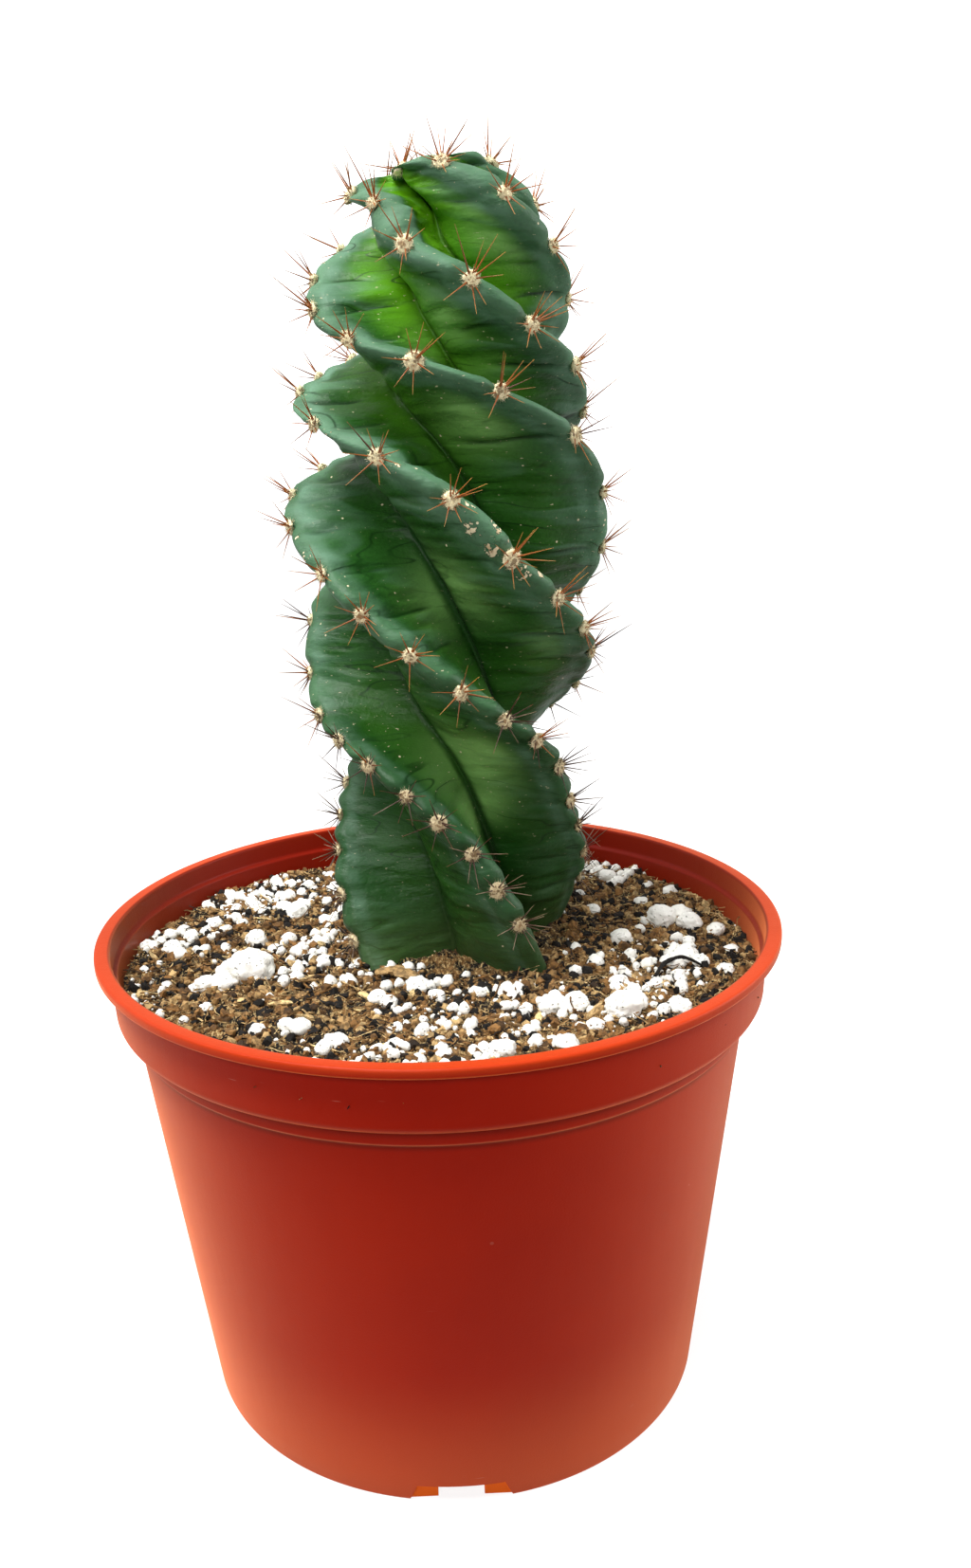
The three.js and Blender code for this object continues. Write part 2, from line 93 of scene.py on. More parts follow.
def linear(red: int, green: int, blue: int) -> tuple[float, float, float, float]:
    """A screen colour of 0 to 255 as the linear colour that a shader takes."""
    parts = [channel / 255.0 for channel in (red, green, blue)]
    bent = [c / 12.92 if c <= 0.04045 else ((c + 0.055) / 1.055) ** 2.4 for c in parts]
    return (bent[0], bent[1], bent[2], 1.0)


# Node trees


class Wire:
    """One output of a node, with the sums that finishes and scatter rules are written in."""

    def __init__(self, book: "NodeBook", socket: bpy.types.NodeSocket) -> None:
        """Keeps the socket, and the book in which its sums put their nodes."""
        self.book = book
        self.socket = socket

    def _sum(self, operation: str, *values: "Feed") -> "Wire":
        """One Math node on the values."""
        return self.book.add("ShaderNodeMath", {"operation": operation}, dict(enumerate(values)))

    def __add__(self, other: "Feed") -> "Wire":
        """self + other."""
        return self._sum("ADD", self, other)

    def __sub__(self, other: "Feed") -> "Wire":
        """self - other."""
        return self._sum("SUBTRACT", self, other)

    def __mul__(self, other: "Feed") -> "Wire":
        """self * other."""
        return self._sum("MULTIPLY", self, other)

    def __truediv__(self, other: "Feed") -> "Wire":
        """self / other."""
        return self._sum("DIVIDE", self, other)

    def __pow__(self, other: "Feed") -> "Wire":
        """self to the power of other."""
        return self._sum("POWER", self, other)

    def __rsub__(self, other: "Feed") -> "Wire":
        """other - self."""
        return self._sum("SUBTRACT", other, self)

    __radd__ = __add__
    __rmul__ = __mul__

    def rise(self, low: float, high: float) -> "Wire":
        """0 up to low and 1 from high on, smooth between; the other way round if low is above."""
        settings = {"interpolation_type": "SMOOTHSTEP"}
        feeds = {"Value": self, "From Min": low, "From Max": high}
        return self.book.add("ShaderNodeMapRange", settings, feeds)

    def band(self, start: float, full: float, fading: float, end: float) -> "Wire":
        """0 up to start, 1 from full to fading, and 0 again from end on."""
        return self.rise(start, full) * self.rise(end, fading)


Feed = Wire | float | Sequence[float] | str


class NodeBook:
    """A node tree in which every node comes from one method."""

    def __init__(self, tree: bpy.types.NodeTree) -> None:
        """Starts on an empty tree."""
        self.tree = tree
        tree.nodes.clear()

    def node(
        self, kind: str, settings: dict | None = None, feeds: dict | None = None
    ) -> bpy.types.Node:
        """Adds a node.

        Args:
            kind: the node's type.
            settings: its properties, set first.
            feeds: a value or a wire for each of its inputs, by name or number.

        Returns:
            The node.
        """
        node = self.tree.nodes.new(kind)
        for name, value in (settings or {}).items():
            setattr(node, name, value)
        for name, value in (feeds or {}).items():
            self.feed(node.inputs[name], value)
        return node

    def add(
        self,
        kind: str,
        settings: dict | None = None,
        feeds: dict | None = None,
        output: int | str = 0,
    ) -> Wire:
        """Adds a node and returns one of its outputs."""
        return Wire(self, self.node(kind, settings, feeds).outputs[output])

    def feed(self, socket: bpy.types.NodeSocket, value: Feed) -> None:
        """Links a wire to an input, or sets the input's own value."""
        if isinstance(value, Wire):
            self.tree.links.new(value.socket, socket)
        else:
            socket.default_value = value

    def mix(self, share: Feed, first: Feed, second: Feed) -> Wire:
        """A colour between two colours."""
        feeds = {0: share, 6: first, 7: second}
        return self.add("ShaderNodeMix", {"data_type": "RGBA"}, feeds, 2)

    def attribute(self, name: str) -> Wire:
        """A number stored on the mesh, in a material."""
        return self.add("ShaderNodeAttribute", {"attribute_name": name}, output="Fac")

    def stored(self, name: str, kind: str = "FLOAT") -> Wire:
        """A value stored on the mesh, in a geometry tree."""
        return self.add("GeometryNodeInputNamedAttribute", {"data_type": kind}, {"Name": name})

    def length(self, vector: Feed) -> Wire:
        """How long a vector is."""
        return self.add("ShaderNodeVectorMath", {"operation": "LENGTH"}, {0: vector}, "Value")

    def parts(self, vector: Feed) -> tuple[Wire, ...]:
        """A vector's x, y and z."""
        split = self.node("ShaderNodeSeparateXYZ", {}, {0: vector})
        return tuple(Wire(self, socket) for socket in split.outputs)

    def triple(self, x: Feed, y: Feed, z: Feed) -> Wire:
        """A vector of three numbers."""
        return self.add("ShaderNodeCombineXYZ", {}, {0: x, 1: y, 2: z})

    def place(self) -> Wire:
        """The point on the piece, in metres, in a material."""
        return self.add("ShaderNodeTexCoord", output="Object")

    def height(self) -> Wire:
        """The point's height in metres."""
        return self.parts(self.place())[2]

    def stretched(self, scale: Sequence[float]) -> Wire:
        """The point on the piece with its three directions scaled."""
        return self.add("ShaderNodeMapping", {}, {"Vector": self.place(), "Scale": scale})

    def speckle(
        self, scale: float, detail: float = 3.0, vector: Wire | None = None, rough: float = 0.55
    ) -> Wire:
        """Cloudy noise from 0 to 1.

        Args:
            scale: patches for each metre.
            detail: how many finer layers it has.
            vector: where it is read; the point on the piece if left out.
            rough: how strong the finer layers are.

        Returns:
            The noise.
        """
        feeds = {
            "Vector": vector or self.place(), "Scale": scale, "Detail": detail, "Roughness": rough
        }
        return self.add("ShaderNodeTexNoise", {}, feeds, "Fac")

    def cells(self, scale: float, output: str = "Distance") -> Wire:
        """Distance from the nearest of many scattered points, or that point's own colour."""
        feeds = {"Vector": self.place(), "Scale": scale}
        return self.add("ShaderNodeTexVoronoi", {}, feeds, output)

    def bump(
        self, height: Wire, depth: float, strength: float = 1.0, under: Wire | None = None
    ) -> Wire:
        """A normal that is tilted by a height of 0 to 1, depth metres high.

        Args:
            height: the relief, 0 to 1.
            depth: how high 1 stands, in metres.
            strength: how much of the relief is used.
            under: a normal on which it is laid.

        Returns:
            The tilted normal.
        """
        feeds: dict = {"Height": height, "Distance": depth, "Strength": strength}
        if under is not None:
            feeds["Normal"] = under
        return self.add("ShaderNodeBump", {}, feeds, "Normal")


class GeometryRule(NodeBook):
    """A geometry node tree with named sizes, run once over a source mesh."""

    def __init__(self, name: str, sizes: dict[str, float | int]) -> None:
        """Makes the tree's inputs.

        Args:
            name: what the tree is called.
            sizes: its named inputs; whole numbers become whole-number inputs.
        """
        super().__init__(bpy.data.node_groups.new(name, "GeometryNodeTree"))
        self.sizes = sizes
        face = self.tree.interface
        face.new_socket("Geometry", in_out="INPUT", socket_type="NodeSocketGeometry")
        for key, value in sizes.items():
            kind = "NodeSocketInt" if isinstance(value, int) else "NodeSocketFloat"
            face.new_socket(key, in_out="INPUT", socket_type=kind)
        face.new_socket("Geometry", in_out="OUTPUT", socket_type="NodeSocketGeometry")
        self.entry = self.tree.nodes.new("NodeGroupInput")

    def size(self, name: str) -> Wire:
        """One of the tree's named inputs."""
        return Wire(self, self.entry.outputs[name])

    @property
    def source(self) -> Wire:
        """The mesh that the tree is run over."""
        return self.size("Geometry")

    def random(self, low: float, high: float, seed: Feed) -> Wire:
        """A number for each element, drawn with a fixed seed."""
        feeds = {2: low, 3: high, "Seed": seed}
        return self.add("FunctionNodeRandomValue", {"data_type": "FLOAT"}, feeds, 1)

    def random_vector(self, low: Sequence[float], high: Sequence[float], seed: Feed) -> Wire:
        """A vector for each element, drawn with a fixed seed."""
        feeds = {0: low, 1: high, "Seed": seed}
        return self.add("FunctionNodeRandomValue", {"data_type": "FLOAT_VECTOR"}, feeds, 0)

    def picked(self, count: int, seed: int) -> Wire:
        """A whole number from 0 to below count for each element."""
        feeds = {4: 0, 5: count - 1, "Seed": seed}
        return self.add("FunctionNodeRandomValue", {"data_type": "INT"}, feeds, 2)

    def scattered(self, mesh: Wire, seed: Feed) -> tuple[Wire, Wire]:
        """Points on a mesh at the tree's density, and the way the mesh faces there."""
        feeds = {"Mesh": mesh, "Density": self.size("density"), "Seed": seed}
        spread = self.node("GeometryNodeDistributePointsOnFaces", {}, feeds)
        return Wire(self, spread.outputs["Points"]), Wire(self, spread.outputs["Normal"])

    def shifted(self, geometry: Wire, offset: Feed) -> Wire:
        """A geometry with each of its points moved."""
        feeds = {"Geometry": geometry, "Offset": offset}
        return self.add("GeometryNodeSetPosition", {}, feeds)

    def vector(self, operation: str, first: Feed, second: Feed) -> Wire:
        """One Vector Math node on two vectors."""
        return self.add("ShaderNodeVectorMath", {"operation": operation}, {0: first, 1: second})

    def scaled(self, first: Feed, factor: Feed) -> Wire:
        """A vector at another length."""
        feeds = {0: first, "Scale": factor}
        return self.add("ShaderNodeVectorMath", {"operation": "SCALE"}, feeds)

    def aimed(self, direction: Feed, rotation: Feed | None = None) -> Wire:
        """A turn that points a shape's own Z along a direction."""
        feeds: dict = {"Vector": direction}
        if rotation is not None:
            feeds["Rotation"] = rotation
        return self.add("FunctionNodeAlignRotationToVector", {"axis": "Z"}, feeds)

    def noise_at(self, scale: float, detail: float = 2.0, seed: float = 0.0) -> Wire:
        """Three-part noise round 0 at each point's place."""
        place = self.add("GeometryNodeInputPosition")
        moved = self.vector("ADD", place, (seed, 0.37 * seed, -0.6 * seed))
        feeds = {"Vector": moved, "Scale": scale, "Detail": detail}
        colour = self.add("ShaderNodeTexNoise", {}, feeds, "Color")
        return self.vector("SUBTRACT", colour, (0.5, 0.5, 0.5))

    def join(self, *parts: Wire) -> Wire:
        """Several geometries as one."""
        node = self.tree.nodes.new("GeometryNodeJoinGeometry")
        for part in parts:
            self.tree.links.new(part.socket, node.inputs[0])
        return Wire(self, node.outputs[0])

    def placed(
        self, points: Wire, shape: Wire, turn: Feed, scale: Feed, pick: Wire | None = None
    ) -> Wire:
        """Copies of a shape on points, as a real mesh.

        Args:
            points: where the copies stand.
            shape: the geometry that is copied.
            turn: the rotation of each copy.
            scale: the scale of each copy.
            pick: which of several shapes each copy is.

        Returns:
            The realized copies.
        """
        feeds: dict = {"Points": points, "Instance": shape, "Rotation": turn, "Scale": scale}
        if pick is not None:
            feeds["Pick Instance"] = True
            feeds["Instance Index"] = pick
        copies = self.add("GeometryNodeInstanceOnPoints", {}, feeds)
        return self.add("GeometryNodeRealizeInstances", {}, {0: copies})

    def keep(self, geometry: Wire, name: str, value: Feed) -> Wire:
        """Stores a number on each point of a geometry."""
        settings = {"data_type": "FLOAT", "domain": "POINT"}
        feeds = {"Geometry": geometry, "Name": name, "Value": value}
        return self.add("GeometryNodeStoreNamedAttribute", settings, feeds)

    def finish(self, geometry: Wire, material: bpy.types.Material) -> None:
        """Ends the tree: everything is made real and gets its material."""
        real = self.add("GeometryNodeRealizeInstances", {}, {0: geometry})
        dressed = self.add("GeometryNodeSetMaterial", {}, {0: real, "Material": material})
        outlet = self.tree.nodes.new("NodeGroupOutput")
        self.tree.links.new(dressed.socket, outlet.inputs[0])

    def run(self, source: bpy.types.Object, name: str) -> bpy.types.Object:
        """Runs the tree over a source object.

        Args:
            source: the object whose mesh the tree reads; it is left as it was.
            name: the name of the piece that comes out.

        Returns:
            A new object with a plain mesh.
        """
        modifier = source.modifiers.new(name, "NODES")
        modifier.node_group = self.tree
        for item in self.tree.interface.items_tree:
            if item.in_out == "INPUT" and item.name in self.sizes:
                modifier[item.identifier] = self.sizes[item.name]
        graph = bpy.context.evaluated_depsgraph_get()
        evaluated = source.evaluated_get(graph)
        mesh = bpy.data.meshes.new_from_object(
            evaluated, preserve_all_data_layers=True, depsgraph=graph
        )
        source.modifiers.remove(modifier)
        mesh.name = name
        return link_object(name, mesh)


# Meshes


def link_object(name: str, mesh: bpy.types.Mesh) -> bpy.types.Object:
    """An object for a mesh, in the scene and at the origin."""
    thing = bpy.data.objects.new(name, mesh)
    bpy.context.scene.collection.objects.link(thing)
    return thing


def mesh_object(
    name: str,
    points: np.ndarray,
    faces: Iterable[Sequence[int]] = (),
    values: dict[str, np.ndarray] | None = None,
) -> bpy.types.Object:
    """An object from points in millimetres.

    Args:
        name: the object's name.
        points: (n, 3) places in millimetres.
        faces: the corners of each face, counter-clockwise from outside.
        values: arrays of n numbers or n vectors that are stored on the points.

    Returns:
        The object, in metres.
    """
    mesh = bpy.data.meshes.new(name)
    mesh.from_pydata((np.asarray(points) * MM).tolist(), [], list(faces))
    for key, array in (values or {}).items():
        flat = np.asarray(array, np.float32)
        vector = flat.ndim == 2
        kind = "FLOAT_VECTOR" if vector else "FLOAT"
        layer = mesh.attributes.new(key, kind, "POINT")
        layer.data.foreach_set("vector" if vector else "value", flat.ravel())
    mesh.update()
    return link_object(name, mesh)


def grid_faces(rows: int, columns: int) -> list[tuple[int, int, int, int]]:
    """The faces of a grid of points whose columns close into rings.

    Args:
        rows: how many rings there are.
        columns: how many points a ring has.

    Returns:
        Four corners for each face, facing outwards where rings run counter-clockwise and rise.
    """
    row, column = np.meshgrid(np.arange(rows - 1), np.arange(columns), indexing="ij")
    after = (column + 1) % columns
    here = row * columns
    above = here + columns
    corners = np.stack([here + column, here + after, above + after, above + column], -1)
    return [tuple(corner) for corner in corners.reshape(-1, 4).tolist()]


def fan(start: int, columns: int, pole: int) -> list[tuple[int, int, int]]:
    """Triangles from a ring, whose points run from start, up to a pole."""
    return [(start + here, start + (here + 1) % columns, pole) for here in range(columns)]


def tube_faces(rows: int, columns: int) -> list[Sequence[int]]:
    """The faces of a grid whose rings close, and of its ends.

    Args:
        rows: how many rings there are.
        columns: how many points a ring has.

    Returns:
        The faces; the points at the low and the high end follow those of the rings.
    """
    base = rows * columns
    low = [face[::-1] for face in fan(0, columns, base)]
    return [*grid_faces(rows, columns), *low, *fan(base - columns, columns, base + 1)]


def turned(section: Sequence[Sequence[float]], sides: int) -> np.ndarray:
    """Rings about the pot's axis.

    Args:
        section: the radius and height of each ring.
        sides: how many points a ring has.

    Returns:
        (rings * sides, 3) points.
    """
    turns = np.linspace(0.0, FULL_TURN, sides, endpoint=False)
    radius, height = np.array(section, float).T[..., None]
    flat = np.broadcast_arrays(radius * np.cos(turns), radius * np.sin(turns), height)
    return np.stack(flat, -1).reshape(-1, 3)


def smooth_shaded(thing: bpy.types.Object, crease: float = 180.0) -> bpy.types.Object:
    """Shades an object smoothly, with sharp edges past an angle in degrees."""
    thing.data.polygons.foreach_set("use_smooth", [True] * len(thing.data.polygons))
    if crease < 180.0:
        thing.data.set_sharp_from_angle(angle=math.radians(crease))
    thing.data.update()
    return thing


def hand_over(
    piece: bpy.types.Object,
    finish: bpy.types.Material | None,
    replaces: Sequence[str] = (),
) -> None:
    """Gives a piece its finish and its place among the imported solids.

    Args:
        piece: the finished object.
        finish: its material, or None where it already has one.
        replaces: the solids that it stands for.
    """
    if finish is not None:
        piece.data.materials.clear()
        piece.data.materials.append(finish)
    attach(piece, "root")
    if replaces:
        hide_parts(*replaces)
    faces = len(piece.data.polygons)
    LOG.info("%s: %d faces, stands for %s", piece.name, faces, list(replaces) or "nothing")


# Finishes


@dataclass(frozen=True)
class Finish:
    """A surface that is built from nodes; subclasses paint it."""

    name: str = "finish"

    def material(self) -> bpy.types.Material:
        """Makes the material.

        Returns:
            The material, with its node tree.
        """
        made = bpy.data.materials.new(self.name)
        made.use_nodes = True
        book = NodeBook(made.node_tree)
        shader = book.node("ShaderNodeBsdfPrincipled")
        self.paint(book, shader)
        out = book.node("ShaderNodeOutputMaterial")
        made.node_tree.links.new(shader.outputs["BSDF"], out.inputs["Surface"])
        return made

    def paint(self, book: NodeBook, shader: bpy.types.Node) -> None:
        """Sets the shader's sockets; each finish has its own."""
        raise NotImplementedError

    @staticmethod
    def set(book: NodeBook, shader: bpy.types.Node, **sockets: Feed) -> None:
        """Feeds the shader's sockets, named with _ for a space."""
        for name, value in sockets.items():
            book.feed(shader.inputs[name.replace("_", " ")], value)


@dataclass(frozen=True)
class CactusSkin(Finish):
    """Waxy skin: bluish on the crests, yellow-green in young furrows, with corky specks."""

    name: str = "cactus_skin"
    deep: tuple = linear(19, 61, 17)
    leaf: tuple = linear(45, 98, 34)
    sage: tuple = linear(144, 196, 110)
    olive: tuple = linear(52, 104, 8)
    # the wax bloom's colour, also used for the painted highlights on fold ridges and along crest
    # edges
    wax: tuple = linear(112, 150, 126)
    lime: tuple = linear(90, 156, 10)
    # dark green for painted shade in the furrows and fold creases, and for the dark rims round the
    # scars
    shade: tuple = linear(8, 44, 8)
    cork: tuple = linear(236, 220, 184)
    stain: tuple = linear(176, 140, 92)
    old: tuple = linear(98, 108, 66)
    # heights in metres between which the flesh turns young, is fully grown, and takes its wax
    young: tuple = (0.205, 0.262)
    grown: tuple = (0.14, 0.2)
    waxed: tuple = (0.15, 0.23)
    # how high the folds, the fine wrinkles and the lumps stand, in metres
    fold: float = 0.0032
    wrinkle: float = 0.0006
    lump: float = 0.0002

    def paint(self, book: NodeBook, shader: bpy.types.Node) -> None:
        """Paints the flesh, its bloom, folds and marks, with painted shade and highlights, and
        raises the relief.

        Args:
            book: the material's tree.
            shader: the Principled node.
        """
        across = book.attribute("across")
        level = book.height()
        clouds = book.speckle(42.0, 4.0)
        broad = book.speckle(14.0, 2.0)
        young = level.rise(*self.young)
        grown = level.rise(*self.grown)
        aged = 0.3 + level.rise(*self.waxed)

        colour = self.flesh(book, across, level, clouds, broad)
        bloom = self.bloom(book, across, clouds, aged)
        # painted shade along the bottom of each furrow, weaker on the young ones
        painted_furrow_shade = across.rise(0.88, 0.985) * (1.0 - young * 0.35)
        colour = book.mix(painted_furrow_shade * 0.5, colour, self.shade)
        # wax bloom, with a painted highlight along each crest's edge
        colour = book.mix(bloom, colour, self.wax)
        # painted shade in the fold creases, from the crease value stored on the skin
        colour = book.mix(book.attribute("crease").rise(0.08, 0.75) * 0.85, colour, self.shade)

        folds = self.folds(book, across)
        between = across.band(0.06, 0.2, 0.92, 1.0)
        # painted shade along each fold line, and a painted highlight on the ridge beside it
        lines = folds.band(0.48, 0.5, 0.5, 0.515) * between
        painted_ridge_highlight = folds.band(0.53, 0.6, 0.62, 0.75) * between
        colour = book.mix(lines * clouds.rise(0.4, 0.58) * 0.8, colour, self.shade)
        colour = book.mix(painted_ridge_highlight * across.rise(0.9, 0.4) * aged * 0.24, colour, self.wax)
        foot = level.rise(0.128, 0.104) * (0.1 + clouds * 0.3)
        colour = book.mix(foot, colour, self.old)
        colour, corky = self.marked(book, colour, broad)

        stretched = book.stretched((1.0, 1.0, 3.4))
        normal = book.bump(book.speckle(240.0, 3.0, stretched), self.wrinkle, 0.5)
        relief = (folds - 0.5) * between * (0.45 + grown * 0.55)
        normal = book.bump(relief, self.fold, 0.9, normal)
        normal = book.bump(book.speckle(900.0, 3.0) + corky * 2.0, self.lump, 0.7, normal)
        dull = 0.34 + clouds * 0.16 + bloom * 0.3 + corky * 0.4
        self.set(book, shader, Base_Color=colour, Roughness=dull, Normal=normal)
        self.set(book, shader, Specular_IOR_Level=0.22)

    def flesh(self, book: NodeBook, across: Wire, level: Wire, clouds: Wire, broad: Wire) -> Wire:
        """The green under the bloom, from the crest to the furrow.

        Args:
            book: the material's tree.
            across: 0 on the crest and 1 in the furrow.
            level: the height in metres.
            clouds: noise of a few centimetres.
            broad: noise as large as a rib.

        Returns:
            The colour.
        """
        mottle = book.speckle(170.0, 4.0)
        grain = book.speckle(1300.0, 2.0)
        share = clouds.rise(0.3, 0.72) * 0.65 + mottle * 0.35 + (grain - 0.5) * 0.9
        share = share * (0.3 + level.rise(*self.grown) * 0.7)
        colour = book.mix(share, self.deep, self.leaf)
        patch = across.rise(0.25, 0.6) * broad.rise(0.42, 0.7)
        colour = book.mix(patch * 0.7, colour, self.olive)
        reach = across + level.rise(0.246, 0.27) * 0.24
        fresh = level.rise(*self.young) * 0.95 + broad.rise(0.45, 0.8) * 0.2
        colour = book.mix(reach.rise(0.4, 0.9) * fresh, colour, self.lime)
        pale = book.attribute("pale") * across.band(0.2, 0.45, 0.9, 0.99)
        return book.mix(pale * (0.55 + clouds * 0.6), colour, self.sage)

    def bloom(self, book: NodeBook, across: Wire, clouds: Wire, aged: Wire) -> Wire:
        """How thick the wax lies on the crest and in streaks on the flanks, with a painted
        highlight along the crest's edge.

        Args:
            book: the material's tree.
            across: 0 on the crest and 1 in the furrow.
            clouds: noise of a few centimetres.
            aged: how much wax a height has.

        Returns:
            The share of wax and of painted highlight.
        """
        streak = book.speckle(60.0, 4.0, book.stretched((1.0, 1.0, 5.0)))
        crest = across.rise(0.42, 0.1) * (0.16 + clouds.rise(0.25, 0.75) * 0.36) * aged
        # painted highlight along the crest's edge
        edge = across.band(0.14, 0.22, 0.24, 0.34) * streak.rise(0.3, 0.7) * 0.3
        return crest + edge + streak.rise(0.55, 0.85) * across.rise(0.9, 0.3) * 0.16 * aged

    def folds(self, book: NodeBook, across: Wire) -> Wire:
        """Noise drawn out across each flank, so that its lines run from crest to furrow."""
        spot = book.triple(book.attribute("climb"), across * 1.1, book.attribute("flank") * 3.7)
        return book.speckle(1.0, 1.0, spot, 0.35)

    def marked(self, book: NodeBook, colour: Wire, broad: Wire) -> tuple[Wire, Wire]:
        """Lays dots, scuffs and scars over the colour.

        Args:
            book: the material's tree.
            colour: the skin's colour.
            broad: noise as large as a rib.

        Returns:
            The colour with its marks, and how corky the skin is.
        """
        picked = book.cells(340.0, "Color").rise(0.62, 0.8)
        dots = (picked * 0.1 - book.cells(340.0)).rise(0.0, 0.02)
        scuff = book.speckle(800.0, 2.0, book.stretched((1.0, 1.0, 2.6))).rise(0.69, 0.75)
        flecks = dots * 0.85 + scuff * broad.rise(0.4, 0.6) * 0.7
        colour = book.mix(flecks, colour, self.cork)
        broken = book.attribute("scar") * 0.47 + book.speckle(1100.0, 3.0) * 1.2
        colour = book.mix(broken.rise(0.84, 0.96) * 0.35, colour, self.shade)
        corky = broken.rise(0.98, 1.02)
        fine = book.speckle(420.0, 4.0)
        cork = book.mix(fine.rise(0.5, 0.35) * 0.6, self.cork, self.stain)
        return book.mix(corky, colour, cork), corky


@dataclass(frozen=True)
class AreoleWool(Finish):
    """Cream felt with rusty specks where the spines leave it, grey on old areoles."""

    name: str = "areole_wool"
    cream: tuple = linear(255, 242, 200)
    rust: tuple = linear(138, 88, 38)
    hollow: tuple = linear(112, 78, 40)
    grey: tuple = linear(226, 208, 168)

    def paint(self, book: NodeBook, shader: bpy.types.Node) -> None:
        """Paints the felt by its age and by how near its middle a point is.

        Args:
            book: the material's tree.
            shader: the Principled node.
        """
        heart = book.attribute("heart")
        young = book.height().rise(0.13, 0.2)
        grain = book.speckle(1500.0, 3.0)
        tufts = book.speckle(700.0, 3.0)
        colour = book.mix(young, self.grey, self.cream)
        colour = book.mix(grain.rise(0.55, 0.35) * 0.4, colour, self.grey)
        rusty = heart.rise(0.0, 0.5) * tufts.rise(0.5, 0.6)
        colour = book.mix(rusty * 0.85, colour, self.rust)
        colour = book.mix(tufts.rise(0.47, 0.4) * 0.75, colour, self.hollow)
        self.set(book, shader, Base_Color=colour, Roughness=0.95, Specular_IOR_Level=0.2)
        self.set(book, shader, Normal=book.bump(grain + tufts, 0.0004))


@dataclass(frozen=True)
class SpineHorn(Finish):
    """Horn that runs from amber to a pale tip when young, and from black-brown to grey when old."""

    name: str = "spine_horn"
    amber: tuple = linear(160, 84, 10)
    straw: tuple = linear(194, 136, 60)
    maroon: tuple = linear(64, 26, 8)
    old: tuple = linear(72, 44, 28)
    ash: tuple = linear(158, 134, 106)

    def paint(self, book: NodeBook, shader: bpy.types.Node) -> None:
        """Paints a spine along its length, by its age and its own shade.

        Args:
            book: the material's tree.
            shader: the Principled node.
        """
        along = book.attribute("along")
        dark = book.attribute("dark")
        grain = book.speckle(700.0, 2.0)
        fresh = book.mix(along.rise(0.45, 1.0), self.amber, self.straw)
        stained = book.mix(along.rise(0.75, 1.0) * 0.5, self.maroon, self.amber)
        aged = book.mix(along.rise(0.25, 0.95), self.old, self.ash)
        colour = book.mix(dark.rise(0.35, 0.5), fresh, stained)
        colour = book.mix(dark.rise(0.62, 0.78), colour, aged)
        colour = book.mix(grain.rise(0.4, 0.7) * 0.25, colour, self.maroon)
        self.set(book, shader, Base_Color=colour, Roughness=0.34 + grain * 0.3)
        self.set(book, shader, Coat_Weight=0.08, Coat_Roughness=0.3)


@dataclass(frozen=True)
class Peat(Finish):
    """Damp peat: near black in its hollows, partly as painted shade between the crumbs, with brown
    and tan fibres.
    """

    name: str = "peat"
    # near black: the peat's own dark colour, deepened as painted shade where the bed shows between
    # the crumbs
    dark: tuple = linear(8, 4, 1)
    brown: tuple = linear(140, 102, 56)
    tan: tuple = linear(236, 202, 140)
    bright: float = 0.7

    def paint(self, book: NodeBook, shader: bpy.types.Node) -> None:
        """Paints crumbs, fibres and hollows by noise at their own sizes, the hollows partly as
        painted shade.

        Args:
            book: the material's tree.
            shader: the Principled node.
        """
        clods = book.speckle(260.0, 5.0)
        threads = book.speckle(620.0, 4.0, book.stretched((3.0, 1.0, 1.0)))
        others = book.speckle(660.0, 4.0, book.stretched((1.0, 3.2, 1.0)))
        grain = book.cells(1500.0)
        colour = book.mix(clods.rise(0.43, 0.57), self.dark, self.brown)
        fibre = threads.rise(0.52, 0.68) * (self.bright + clods * 0.5)
        colour = book.mix(fibre, colour, self.tan)
        colour = book.mix(others.rise(0.54, 0.7) * self.bright, colour, self.tan)
        colour = book.mix(grain.rise(0.25, 0.05) * 0.5, colour, self.dark)
        relief = clods + threads * 0.5 + others * 0.5 + grain * 0.4
        self.set(book, shader, Base_Color=colour, Roughness=0.75 + grain * 0.2)
        self.set(book, shader, Normal=book.bump(relief, 0.002), Specular_IOR_Level=0.35)


@dataclass(frozen=True)
class PeatBits(Finish):
    """Loose crumbs, fibres and chips, each with a shade of its own."""

    name: str = "peat_bits"
    darkest: tuple = linear(14, 8, 3)
    rust: tuple = linear(144, 102, 54)
    straw: tuple = linear(234, 202, 142)

    def paint(self, book: NodeBook, shader: bpy.types.Node) -> None:
        """Paints a bit by its stored shade, with grain along it.

        Args:
            book: the material's tree.
            shader: the Principled node.
        """
        shade = book.attribute("shade")
        grain = book.speckle(900.0, 4.0)
        colour = book.mix(shade.rise(0.24, 0.56), self.darkest, self.rust)
        colour = book.mix(shade.rise(0.55, 1.0), colour, self.straw)
        colour = book.mix(grain.rise(0.6, 0.38) * 0.6, colour, self.darkest)
        self.set(book, shader, Base_Color=colour, Roughness=0.7 + grain * 0.25)
        self.set(book, shader, Normal=book.bump(grain, 0.0005), Specular_IOR_Level=0.35)


